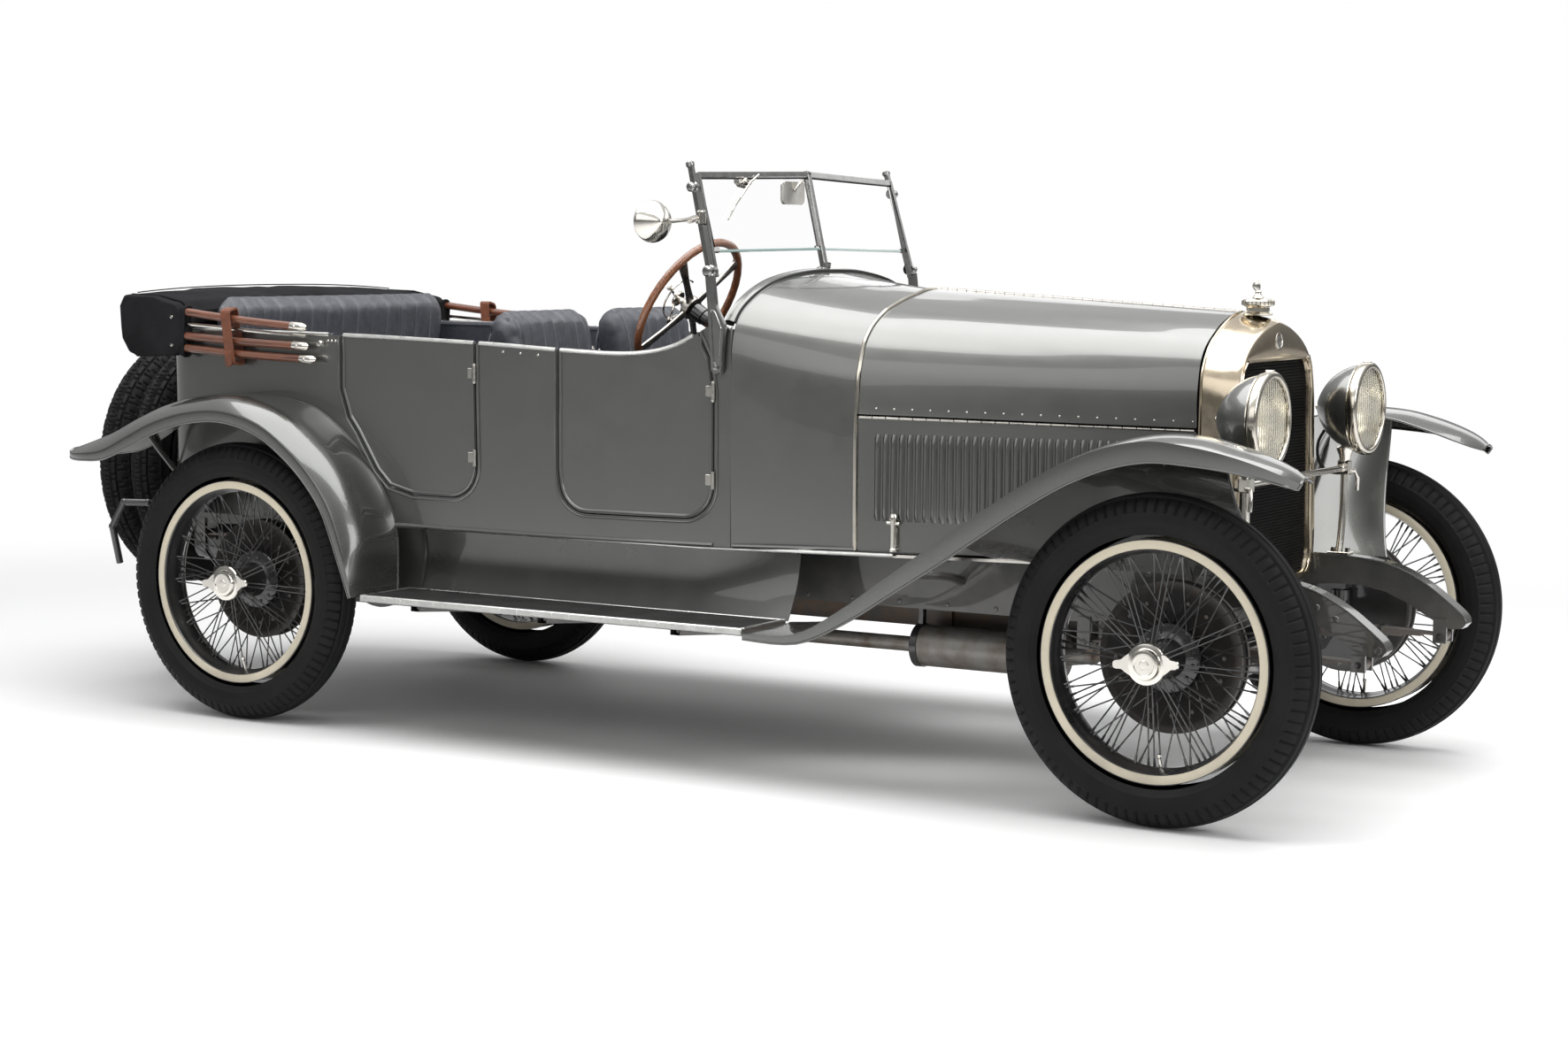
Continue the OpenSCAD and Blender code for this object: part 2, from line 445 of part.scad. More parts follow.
// ---- windscreen, lamps and mirror ----
top_in = [X(1478), 530, 1596];
module windscreen_frame() color([0.75, 0.75, 0.72]) place() {
  both() {
    bent([[X(1572), 566, 1062], [X(1578), 566, 1210], [X(1543), 552, 1335], [X(1467), 542, 1618]], 24);
    rod([X(1475), 540, 1590], [X(1506), 0, 1604], 16);
  }
  rod([X(1506), 0, 1606], [X(1572), 0, 1345], 18);
}
module windscreen_glass() color([0.7, 0.8, 0.8, 0.35]) place() both() sheet([for (u = [0.03, 0.5, 0.97]) [
  lerp([X(1516), 0, 1590], [X(1488), 522, 1578], u), lerp([X(1562), 0, 1396], [X(1536), 520, 1389], u)]], 5);
module headlamps() color([0.6, 0.6, 0.58]) place() {
  both() translate([X(3074), 352, 977]) rotate([0, -90, 0]) rotate_extrude($fn = 72) polygon([[0, 6], [lamp_d / 2 - 16, 6],
    [lamp_d / 2 - 14, 0], [lamp_d / 2, 0], [lamp_d / 2, 24], [lamp_d / 2 - 8, 28], [lamp_d / 2 - 14, 56], [lamp_d / 2 - 34, 96],
    [lamp_d / 2 - 70, 132], [20, 150], [0, 152], [0, 146], [20, 144], [lamp_d / 2 - 74, 127], [lamp_d / 2 - 39, 92],
    [lamp_d / 2 - 19, 54], [lamp_d / 2 - 15, 12], [0, 12]]);
  both() bent([[X(3003), 322, rail_top + 1], [X(3003), 350, 700], [X(3003), 351, 870]], 24);
  both() translate([X(3003), 351, 858]) cylinder(d = 40, h = 22);
  rod([X(3003), -350, 816], [X(3003), 350, 816], 20);
}
module door_mirror() color([0.75, 0.75, 0.72]) place() {
  translate([X(1486), -732, 1466]) rotate([0, 90, 0]) rotate_extrude($fn = 48) polygon([[0, 0], [54, 0], [54, 6], [40, 26], [18, 38], [0, 40]]);
  rod([X(1502), -680, 1469], [X(1502), -565, 1478], 8);
}

// ---- seats ----
function pad(x0, x1, y0, y1, z0, z1, r) = rc([[x0, z0, r], [x1, z0, r], [x1, z1, r], [x0, z1, r]]);
module front_seats() color([0.16, 0.17, 0.2]) place() both() {
  side(62, 478) polygon([for (p = rc([[880, 607, 20], [1300, 607, 30], [1320, 870, 50], [880, 840, 20]])) [X(p[0]), p[1]]]);
  side(52, 488) polygon([for (p = rc([[790, 640, 20], [876, 640, 20], [874, 860, 200], [800, 1222, 36], [712, 1210, 40], [736, 860, 200]])) [X(p[0]), p[1]]]);
}
module rear_seat() color([0.16, 0.17, 0.2]) place() {
  side(-530, 530) polygon([for (p = rc([[-220, 607, 20], [200, 607, 30], [224, 870, 50], [-220, 830, 20]])) [X(p[0]), p[1]]]);
  side(-540, 540) polygon([for (p = rc([[-330, 640, 20], [-226, 640, 20], [-222, 860, 200], [-196, 1190, 60], [-226, 1256, 28], [-262, 1240, 14], [-262, 1120, 60], [-330, 1000, 60]])) [X(p[0]), p[1]]]);
}

// ---- folded hood ----
module hood_bag() color([0.12, 0.12, 0.13]) place() difference() {
  loft([for (q = [[-645, 0.86], [-640, 0.97], [-600, 1], [600, 1], [640, 0.97], [645, 0.86]]) [for (p = rc([[-300, 1060, 50], [-268, 1150, 60],
    [-290, 1224, 30], [-500, 1258, 40], [-540, 1200, 60], [-534, 1100, 50]])) [X(lerp(-400, p[0], q[1])), q[0] * by, lerp(1150, p[1], q[1])]]]);
  translate([X(-462), -608, 1000]) cube([500, 1216, 150]);
}
module hood_bows() color([0.4, 0.2, 0.1]) place() both() {
  rod([X(-262), 630, 1199], [X(183), 626, 1156], 26);
  rod([X(-262), 630, 1158], [X(190), 626, 1130], 12);
  rod([X(-262), 630, 1120], [X(196), 626, 1098], 26);
  rod([X(-262), 630, 1085], [X(226), 626, 1060], 26);
  translate([X(-100), 604, 1040]) cube([34, 8, 176]);
}

// ---- wheels ----
module tyre() rotate([90, 0, 0]) rotate_extrude($fn = 120) difference() {
  translate([tr - tyre_w / 2, 0]) circle(d = tyre_w, $fn = 48);
  translate([0, -tyre_w]) square([rim_d / 2 + 0.4, 2 * tyre_w]);
}
module wheel(dd) rotate([-90, 0, 0]) difference() {
  union() {
    rotate_extrude($fn = 120) polygon([[rim_d / 2, rim_w / 2], [rim_d / 2, -rim_w / 2], [rim_d / 2 - 24, -rim_w / 2],
      [rim_d / 2 - 34, -rim_w / 2 + 14], [rim_d / 2 - 38, 0], [rim_d / 2 - 34, rim_w / 2 - 14], [rim_d / 2 - 24, rim_w / 2]]);
    translate([0, 0, -57]) cylinder(d = hub_d, h = dd > 0 ? 130 : 110);
    translate([0, 0, -57]) cylinder(d = 172, h = 8);
    if (dd > 0) translate([0, 0, 60]) cylinder(d = 104, h = 38);
    for (i = [0:spokes - 1]) rotate([0, 0, i * 360 / spokes])
      rod([i % 2 == 0 ? hub_d / 2 - 6 : 78, 0, i % 2 == 0 ? 44 : -52], [rim_d / 2 - 32, 0, i % 4 < 2 ? 12 : -12], 6);
    if (dd > 0) translate([0, 0, -66]) cylinder(d = dd, h = 8, $fn = 96);
    if (dd > 0) translate([0, 0, -66 - drum_w]) difference() {
      cylinder(d = dd, h = drum_w + 1, $fn = 96);
      translate([0, 0, -1]) cylinder(d = dd - 18, h = drum_w + 3, $fn = 96);
    }
    if (dd > 0) translate([0, 0, -66]) cylinder(d = 150, h = 12);
  }
  translate([0, 0, -130]) cylinder(d = stub_d + 2 * pin_fit, h = dd > 0 ? 200 : 300, $fn = 48);
}
module front_left_wheel() color(black) place() translate([X(2930), ft, tr]) wheel(drum_d);
module front_right_wheel() color(black) place() translate([X(2930), -ft, tr]) mirror([0, 1, 0]) wheel(drum_d);
module rear_left_wheel() color(black) place() translate([0, ft, tr]) wheel(drum_d - 24);
module rear_right_wheel() color(black) place() translate([0, -ft, tr]) mirror([0, 1, 0]) wheel(drum_d - 24);
module front_left_tyre() color(black) place() translate([X(2930), ft, tr]) tyre();
module front_right_tyre() color(black) place() translate([X(2930), -ft, tr]) tyre();
module rear_left_tyre() color(black) place() translate([0, ft, tr]) tyre();
module rear_right_tyre() color(black) place() translate([0, -ft, tr]) tyre();
module spares() { for (k = spare_x) translate([k, 0, spare_z]) rotate([0, 0, 90]) children(); }
module spare_wheels() color(black) place() spares() wheel(0);
module spare_tyres() color(black) place() spares() tyre();
module spare_carrier() color(black) place() {
  rod([X(-452), 0, spare_z], [tail_x + 4, 0, spare_z], stub_d);
  translate([X(-452) - 16, -150, spare_z - 100]) cube([16, 300, 200]);
  translate([tail_x + 1, 0, spare_z]) rotate([0, 90, 0]) cylinder(d = 100, h = 5);
  both() bent([[X(-620), rail_y + 32, 560], [X(-628), 440, 590], [X(-700), 470, 590], [X(-752), 470, 510], [X(-752), 440, 392]], 22);
}

chassis_frame();
handle_guide();
front_axle();
rear_axle();
leaf_springs();
engine_block();
exhaust();
fuel_tank();
radiator_shell();
radiator_core();
radiator_cap();
bonnet_top_left();
bonnet_top_right();
bonnet_side_left();
bonnet_side_right();
bonnet_rod();
cowl();
body_tub();
floor();
front_left_door();
front_right_door();
rear_left_door();
rear_right_door();
dashboard();
steering_column();
steering_wheel();
windscreen_frame();
windscreen_glass();
controls();
front_seats();
rear_seat();
hood_bag();
hood_bows();
front_wings();
rear_wings();
running_boards();
valances();
headlamps();
door_mirror();
spare_wheels();
spare_tyres();
spare_carrier();
left_knuckle();
right_knuckle();
track_rod();
front_left_wheel();
front_right_wheel();
rear_left_wheel();
rear_right_wheel();
front_left_tyre();
front_right_tyre();
rear_left_tyre();
rear_right_tyre();
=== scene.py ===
"""Looks of a 1920s open touring car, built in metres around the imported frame.

Places are written in millimetres from the point on the ground under the rear axle:
x runs forward, y to the car's left and z up. place() turns them into the frame's metres.
"""

import json
import logging
import math
import random
from dataclasses import dataclass, field
from enum import Enum
from typing import Callable, Iterable, Sequence

import bmesh
import bpy
import numpy as np
from mathutils import Matrix, Vector

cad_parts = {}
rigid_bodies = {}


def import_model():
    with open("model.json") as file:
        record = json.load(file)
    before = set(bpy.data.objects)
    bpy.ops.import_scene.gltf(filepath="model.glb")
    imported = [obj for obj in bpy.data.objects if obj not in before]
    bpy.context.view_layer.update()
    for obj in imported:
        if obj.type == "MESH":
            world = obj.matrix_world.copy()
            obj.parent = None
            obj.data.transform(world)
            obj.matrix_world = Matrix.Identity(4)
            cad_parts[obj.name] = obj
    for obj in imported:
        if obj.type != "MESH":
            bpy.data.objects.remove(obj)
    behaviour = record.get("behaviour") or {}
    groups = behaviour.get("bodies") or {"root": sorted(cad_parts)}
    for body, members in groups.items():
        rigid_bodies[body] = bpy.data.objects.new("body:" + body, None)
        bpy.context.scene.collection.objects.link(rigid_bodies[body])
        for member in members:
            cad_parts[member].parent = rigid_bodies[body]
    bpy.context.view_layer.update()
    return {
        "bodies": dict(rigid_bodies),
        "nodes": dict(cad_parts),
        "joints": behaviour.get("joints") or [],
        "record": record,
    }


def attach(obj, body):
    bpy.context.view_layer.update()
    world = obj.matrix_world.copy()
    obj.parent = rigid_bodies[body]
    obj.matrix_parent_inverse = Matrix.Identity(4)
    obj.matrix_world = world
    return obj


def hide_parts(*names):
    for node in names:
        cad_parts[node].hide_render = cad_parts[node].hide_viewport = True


LOG = logging.getLogger("touring_car")
Point = tuple[float, float, float]
Rows = list[list[Point]]
ORIGIN_X = -1237.5
AXLE_Z = 410.0
WHEELBASE = 2930.0
HALF_TRACK = 698.0
SILL_Z = 592.0


class Side(Enum):
    """Which side of the car a piece is on."""

    LEFT = 1
    RIGHT = -1

    @property
    def word(self) -> str:
        """The side's name in lower case."""
        return self.name.lower()


# ---------------------------------------------------------------- small geometry


def blend_points(a: Sequence[float], b: Sequence[float], t: float) -> tuple[float, ...]:
    """Point part of the way from a to b.

    Args:
        a: First point.
        b: Second point.
        t: Fraction of the way.

    Returns:
        The point between them.
    """
    return tuple(p + (q - p) * t for p, q in zip(a, b))


def smooth_curve(points: Sequence[Sequence[float]], steps: int,
                 closed: bool = False) -> list[tuple[float, ...]]:
    """Catmull-Rom curve through a list of points.

    Args:
        points: The points it passes through.
        steps: Number of pieces between two points.
        closed: Whether it joins its own start.

    Returns:
        Points along the curve.
    """
    p = np.array(points, float)
    n = len(p)
    out = []
    for i in range(n if closed else n - 1):
        a, b, c, d = (p[(i + k) % n] if closed else p[min(max(i + k, 0), n - 1)] for k in (-1, 0, 1, 2))
        for s in range(steps):
            t = s / steps
            q = 2 * b + (c - a) * t + (2 * a - 5 * b + 4 * c - d) * t * t + (3 * b - a - 3 * c + d) * t**3
            out.append(tuple(q * 0.5))
    if not closed:
        out.append(tuple(p[-1]))
    return out


def even_curve(points: Sequence[Sequence[float]], count: int,
               closed: bool = False) -> list[tuple[float, ...]]:
    """Smooth curve through points, resampled at even spacing.

    Args:
        points: The points it passes through.
        count: Number of points wanted.
        closed: Whether it joins its own start.

    Returns:
        Points at equal distances.
    """
    c = np.array(smooth_curve(points, 12, closed))
    if closed:
        c = np.vstack([c, c[:1]])
    s = np.concatenate([[0], np.cumsum(np.linalg.norm(np.diff(c, axis=0), axis=1))])
    want = np.linspace(0, s[-1], count + 1 if closed else count)
    if closed:
        want = want[:-1]
    return [tuple(v) for v in np.stack([np.interp(want, s, c[:, k]) for k in range(c.shape[1])], 1)]


def rounded(corners: Sequence[tuple[float, float, float]], steps: int = 6) -> list[tuple[float, float]]:
    """Closed outline whose corners are arcs.

    Args:
        corners: Each corner as (x, y, radius).
        steps: Number of pieces in an arc.

    Returns:
        Points of the outline.
    """
    out = []
    n = len(corners)
    for i, (x, y, r) in enumerate(corners):
        if r <= 0:
            out.append((x, y))
            continue
        b = Vector((x, y))
        u = (Vector(corners[i - 1][:2]) - b).normalized()
        v = (Vector(corners[(i + 1) % n][:2]) - b).normalized()
        half = math.acos(max(-1.0, min(1.0, u.dot(v)))) / 2
        centre = b + (u + v).normalized() * (r / math.sin(half))
        d = r / math.tan(half)
        p0, p1 = b + u * d - centre, b + v * d - centre
        for k in range(steps + 1):
            w = p0.lerp(p1, k / steps).normalized() * r
            out.append((centre.x + w.x, centre.y + w.y))
    return out


def ease(edge0: float, edge1: float, x: float) -> float:
    """Smooth step from 0 at edge0 to 1 at edge1."""
    t = max(0.0, min(1.0, (x - edge0) / (edge1 - edge0)))
    return t * t * (3 - 2 * t)


@dataclass
class Draft:
    """Mesh under construction, in millimetres, gathered from simple building steps."""

    points: list[Point] = field(default_factory=list)
    faces: list[tuple[int, ...]] = field(default_factory=list)

    def grid(self, rows: Sequence[Sequence[Point]], wrap_u: bool = False, wrap_v: bool = False) -> "Draft":
        """Adds a surface through rows of points.

        Args:
            rows: Equal rows of points.
            wrap_u: Whether the last row joins the first.
            wrap_v: Whether each row closes on itself.

        Returns:
            This draft.
        """
        base, m, k = len(self.points), len(rows), len(rows[0])
        for row in rows:
            self.points.extend(tuple(float(c) for c in p) for p in row)
        for i in range(m if wrap_u else m - 1):
            for j in range(k if wrap_v else k - 1):
                a, b = base + i * k, base + ((i + 1) % m) * k
                self.faces.append((a + j, a + (j + 1) % k, b + (j + 1) % k, b + j))
        return self

    def fan(self, ring: Sequence[Point], tip: Point | None = None) -> "Draft":
        """Closes a ring of points with one face, or with a fan to a tip.

        Args:
            ring: The ring's points.
            tip: Middle point, if a fan is wanted.

        Returns:
            This draft.
        """
        base, n = len(self.points), len(ring)
        self.points.extend(tuple(float(c) for c in p) for p in ring)
        if tip is None:
            self.faces.append(tuple(base + i for i in range(n)))
            return self
        self.points.append(tuple(float(c) for c in tip))
        self.faces.extend((base + i, base + (i + 1) % n, base + n) for i in range(n))
        return self

    def tube(self, path: Sequence[Point], radius: float | Sequence[float], sides: int = 10,
             closed: bool = False) -> "Draft":
        """Adds a round bar along a path.

        Args:
            path: Points along its middle.
            radius: Its radius, or one radius for each point.
            sides: Number of sides.
            closed: Whether it joins its own start.

        Returns:
            This draft.
        """
        p = [Vector(q) for q in path]
        n = len(p)
        radii = [radius] * n if isinstance(radius, (int, float)) else list(radius)
        rows = []
        up = None
        for i, q in enumerate(p):
            a = p[(i - 1) % n] if closed else p[max(i - 1, 0)]
            b = p[(i + 1) % n] if closed else p[min(i + 1, n - 1)]
            t = (b - a).normalized()
            if up is None:
                up = t.orthogonal().normalized()
            up = (up - t * up.dot(t)).normalized()
            side = t.cross(up)
            rows.append([tuple(q + (up * math.cos(w) + side * math.sin(w)) * radii[i])
                         for w in (2 * math.pi * k / sides for k in range(sides))])
        self.grid(rows, wrap_u=closed, wrap_v=True)
        if not closed:
            self.fan(rows[0])
            self.fan(rows[-1])
        return self

    def turned(self, profile: Sequence[tuple[float, float]], at: Point, axis: Point, steps: int = 48,
               closed: bool = False) -> "Draft":
        """Adds a turned shape.

        Args:
            profile: Points as (radius, distance along the axis).
            at: Where distance zero lies.
            axis: Direction of the axis.
            steps: Number of steps around.
            closed: Whether the profile is a loop.

        Returns:
            This draft.
        """
        turn = Vector(axis).to_track_quat("Z", "X").to_matrix()
        c = Vector(at)
        rows = []
        for k in range(steps):
            w = 2 * math.pi * k / steps
            rows.append([tuple(c + turn @ Vector((r * math.cos(w), r * math.sin(w), h))) for r,
                         h in profile])
        return self.grid(rows, wrap_u=True, wrap_v=closed)

    def block(self, low: Point, high: Point, chamfer: float = 2.0) -> "Draft":
        """Adds a block with chamfered edges.

        Args:
            low: Lowest corner.
            high: Highest corner.
            chamfer: Size of the chamfer.

        Returns:
            This draft.
        """
        c = min(chamfer, *(0.49 * (h - l) for l, h in zip(low, high)))
        base = len(self.points)
        ids = {}
        for sx in (0, 1):
            for sy in (0, 1):
                for sz in (0, 1):
                    s = (sx, sy, sz)
                    for keep in range(3):
                        q = [(high[a] if s[a] else low[a]) + (0 if a == keep else (-c if s[a] else c))
                             for a in range(3)]
                        ids[s, keep] = base + len(ids)
                        self.points.append(tuple(q))
        for axis in range(3):
            u, v = [a for a in range(3) if a != axis]
            for side in (0, 1):
                loop = []
                for p, q in ((0, 0), (1, 0), (1, 1), (0, 1)):
                    s = [0, 0, 0]
                    s[axis], s[u], s[v] = side, p, q
                    loop.append(ids[tuple(s), axis])
                self.faces.append(tuple(loop))
            for p in (0, 1):
                for q in (0, 1):
                    s0, s1 = [0, 0, 0], [0, 0, 0]
                    s0[u] = s1[u] = p
                    s0[v] = s1[v] = q
                    s1[axis] = 1
                    self.faces.append((ids[tuple(s0), u], ids[tuple(s1), u], ids[tuple(s1), v],
                                       ids[tuple(s0), v]))
        for sx in (0, 1):
            for sy in (0, 1):
                for sz in (0, 1):
                    self.faces.append(tuple(ids[(sx, sy, sz), k] for k in range(3)))
        return self

    def slab(self, outline: Sequence[tuple[float, float]], low: float, high: float,
             lift: Callable[[float, float, float], Point], chamfer: float = 0.0) -> "Draft":
        """Adds a flat plate cut to an outline.

        Args:
            outline: Its outline in two measures.
            low: Where it starts along the third measure.
            high: Where it ends.
            lift: Turns (u, v, w) into a place on the car.
            chamfer: How far both faces are drawn in at the edge.

        Returns:
            This draft.
        """
        mid = np.mean(np.array(outline), 0)
        size = max(np.ptp(np.array(outline), 0).max() / 2, 1e-6)
        inner = [tuple(mid + (np.array(p) - mid) * (1 - chamfer / size)) for p in outline]
        rings = [(inner, low), (outline, low + chamfer), (outline, high - chamfer), (inner, high)]
        rows = [[lift(u, v, w) for u, v in ring] for ring, w in rings]
        self.grid(rows, wrap_v=True)
        self.fan(rows[0])
        self.fan(rows[-1])
        return self

    def moved(self, change: Callable[[Point], Point]) -> "Draft":
        """Moves every point so far with a function."""
        self.points = [change(p) for p in self.points]
        return self

    def add(self, other: "Draft", change: Callable[[Point], Point] = lambda p: p) -> "Draft":
        """Adds a copy of another draft.

        Args:
            other: The draft to copy.
            change: Moves each of its points.

        Returns:
            This draft.
        """
        base = len(self.points)
        self.points.extend(change(p) for p in other.points)
        self.faces.extend(tuple(base + i for i in f) for f in other.faces)
        return self


def mirrored(p: Point) -> Point:
    """The same point on the car's other side."""
    return (p[0], -p[1], p[2])


def place(p: Sequence[float]) -> Vector:
    """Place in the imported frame, in metres, of a point in car millimetres."""
    return Vector(((p[0] + ORIGIN_X) / 1000, p[1] / 1000, p[2] / 1000))


# ---------------------------------------------------------------- finishes


@dataclass
class Shader:
    """One material's nodes, with short calls for the ones a finish needs."""

    name: str

    def __post_init__(self) -> None:
        """Makes the empty material and its coordinates."""
        self.material = bpy.data.materials.new(self.name)
        self.material.use_nodes = True
        self.tree = self.material.node_tree
        self.surface = self.tree.nodes["Principled BSDF"]
        self.where = self.tree.nodes.new("ShaderNodeTexCoord").outputs["Object"]

    def link(self, a: bpy.types.NodeSocket, b: bpy.types.NodeSocket) -> None:
        """Joins two sockets."""
        self.tree.links.new(a, b)

    def put(self, **values: float | tuple) -> "Shader":
        """Sets the shader's own sockets, with _ for a space in their names."""
        for key, value in values.items():
            self.surface.inputs[key.replace("_", " ")].default_value = value
        return self

    def stretched(self, scale: Point) -> bpy.types.NodeSocket:
        """Coordinates scaled along each axis.

        Args:
            scale: How much each axis is stretched.

        Returns:
            The scaled coordinates.
        """
        node = self.tree.nodes.new("ShaderNodeMapping")
        node.inputs["Scale"].default_value = scale
        self.link(self.where, node.inputs["Vector"])
        return node.outputs["Vector"]

    def noise(self, scale: float, detail: float = 3.0, rough: float = 0.55,
              where: bpy.types.NodeSocket | None = None) -> bpy.types.NodeSocket:
        """Cloudy noise.

        Args:
            scale: How fine it is, per metre.
            detail: Number of finer layers.
            rough: How strong the finer layers are.
            where: Coordinates, if not the plain ones.

        Returns:
            The noise's value.
        """
        node = self.tree.nodes.new("ShaderNodeTexNoise")
        node.inputs["Scale"].default_value = scale
        node.inputs["Detail"].default_value = detail
        node.inputs["Roughness"].default_value = rough
        self.link(where or self.where, node.inputs["Vector"])
        return node.outputs["Fac"]

    def cells(self, scale: float, feature: str = "F1",
              where: bpy.types.NodeSocket | None = None) -> bpy.types.NodeSocket:
        """Distance pattern of scattered cells.

        Args:
            scale: Cells per metre.
            feature: Which distance is given.
            where: Coordinates, if not the plain ones.

        Returns:
            The distance.
        """
        node = self.tree.nodes.new("ShaderNodeTexVoronoi")
        node.feature = feature
        node.inputs["Scale"].default_value = scale
        self.link(where or self.where, node.inputs["Vector"])
        return node.outputs["Distance"]

    def waves(self, scale: float, direction: str, where: bpy.types.NodeSocket | None = None,
              bend: float = 0.0) -> bpy.types.NodeSocket:
        """Parallel bands.

        Args:
            scale: How fine they are.
            direction: Axis they follow one another along.
            where: Coordinates, if not the plain ones.
            bend: How much they wander.

        Returns:
            The bands' value.
        """
        node = self.tree.nodes.new("ShaderNodeTexWave")
        node.bands_direction = direction
        node.inputs["Scale"].default_value = scale
        node.inputs["Distortion"].default_value = bend
        self.link(where or self.where, node.inputs["Vector"])
        return node.outputs["Fac"]

    def ramp(self, value: bpy.types.NodeSocket, low: float, high: float, out_low: float,
             out_high: float) -> bpy.types.NodeSocket:
        """Maps a value from one range to another, held at the ends.

        Args:
            value: The value.
            low: Bottom of its range.
            high: Top of its range.
            out_low: What the bottom becomes.
            out_high: What the top becomes.

        Returns:
            The new value.
        """
        node = self.tree.nodes.new("ShaderNodeMapRange")
        for key, number in zip(("From Min", "From Max", "To Min", "To Max"),
                               (low, high, out_low, out_high)):
            node.inputs[key].default_value = number
        self.link(value, node.inputs["Value"])
        return node.outputs["Result"]

    def mix(self, amount: bpy.types.NodeSocket, a: tuple | bpy.types.NodeSocket,
            b: tuple | bpy.types.NodeSocket) -> bpy.types.NodeSocket:
        """Mixes two colours.

        Args:
            amount: How much of the second.
            a: First colour.
            b: Second colour.

        Returns:
            The mixed colour.
        """
        node = self.tree.nodes.new("ShaderNodeMix")
        node.data_type = "RGBA"
        self.link(amount, node.inputs[0])
        for socket, colour in ((node.inputs[6], a), (node.inputs[7], b)):
            if isinstance(colour, tuple):
                socket.default_value = (*colour[:3], 1)
            else:
                self.link(colour, socket)
        return node.outputs[2]

    def math(self, kind: str, a: bpy.types.NodeSocket,
             b: bpy.types.NodeSocket | float) -> bpy.types.NodeSocket:
        """One sum on two values.

        Args:
            kind: The kind of sum.
            a: First value.
            b: Second value.

        Returns:
            The result.
        """
        node = self.tree.nodes.new("ShaderNodeMath")
        node.operation = kind
        self.link(a, node.inputs[0])
        if isinstance(b, (int, float)):
            node.inputs[1].default_value = b
        else:
            self.link(b, node.inputs[1])
        return node.outputs[0]

    def bump(self, height: bpy.types.NodeSocket, depth: float, strength: float = 1.0) -> "Shader":
        """Presses a height pattern into the surface.

        Args:
            height: The pattern.
            depth: Its depth in metres.
            strength: How strongly it shows.

        Returns:
            This shader.
        """
        node = self.tree.nodes.new("ShaderNodeBump")
        node.inputs["Distance"].default_value = depth
        node.inputs["Strength"].default_value = strength
        self.link(height, node.inputs["Height"])
        if self.surface.inputs["Normal"].is_linked:
            before = self.surface.inputs["Normal"].links[0].from_socket
            self.link(before, node.inputs["Normal"])
        self.link(node.outputs["Normal"], self.surface.inputs["Normal"])
        return self

    def worn(self) -> bpy.types.NodeSocket:
        """1 on outward edges and 0 elsewhere."""
        node = self.tree.nodes.new("ShaderNodeNewGeometry")
        return self.ramp(node.outputs["Pointiness"], 0.52, 0.60, 0.0, 1.0)

    def low_down(self, bottom: float, top: float) -> bpy.types.NodeSocket:
        """1 at the bottom height, fading to 0 at the top height, in metres.

        Args:
            bottom: Height where it is 1.
            top: Height where it is 0.

        Returns:
            The fading value.
        """
        node = self.tree.nodes.new("ShaderNodeSeparateXYZ")
        self.link(self.where, node.inputs[0])
        return self.ramp(node.outputs["Z"], bottom, top, 1.0, 0.0)


MADE: dict[str, bpy.types.Material] = {}


@dataclass(frozen=True)
class Finish:
    """A finish with its colour and gloss."""

    name: str
    colour: tuple[float, float, float]
    gloss: float = 0.4
    slot: str = "body_paint"

    def material(self) -> bpy.types.Material:
        """The finish's material, made once."""
        if self.name not in MADE:
            shader = Shader(self.name)
            shader.put(Base_Color=(*self.colour, 1), Roughness=self.gloss)
            self.dress(shader)
            MADE[self.name] = shader.material
        return MADE[self.name]

    def shade(self, shader: Shader, amount: bpy.types.NodeSocket, factor: float) -> None:
        """Varies the colour between itself and a lighter or darker one."""
        other = tuple(min(c * factor, 1.0) for c in self.colour)
        shader.link(shader.mix(amount, self.colour, other), shader.surface.inputs["Base Color"])

    def dress(self, shader: Shader) -> None:
        """Adds the finish's own detail."""
        self.shade(shader, shader.noise(30), 0.8)


@dataclass(frozen=True)
class Enamel(Finish):
    """Sprayed and polished paint, with metal flake if metallic."""

    metallic: float = 0.0
    coat: float = 1.0
    dust: float = 0.12

    def dress(self, shader: Shader) -> None:
        """Adds flake, a faint ripple, and road dust low down.

        Args:
            shader: The material being made.
        """
        shader.put(Metallic=self.metallic, Coat_Weight=self.coat, Coat_Roughness=0.04, Coat_IOR=1.5)
        flake = shader.noise(2600, 1.0)
        lit = shader.mix(shader.ramp(flake, 0.35, 0.7, 0, 1), tuple(c * 0.93 for c in self.colour),
                         tuple(min(c * 1.08, 1) for c in self.colour))
        cloud = shader.ramp(shader.noise(9, 4), 0.35, 0.75, 0, 1)
        dirt = shader.math("MULTIPLY", shader.math("MULTIPLY", shader.low_down(0.15, 0.75), cloud),
                           self.dust)
        shader.link(shader.mix(dirt, lit, (0.30, 0.27, 0.23)), shader.surface.inputs["Base Color"])
        rough = shader.ramp(shader.noise(14, 4), 0.3, 0.75, self.gloss * 0.9, self.gloss * 1.15)
        shader.link(shader.math("ADD", rough, shader.math("MULTIPLY", dirt, 1.2)),
                    shader.surface.inputs["Roughness"])
        shader.bump(shader.noise(40, 2), 0.0001, 0.15)


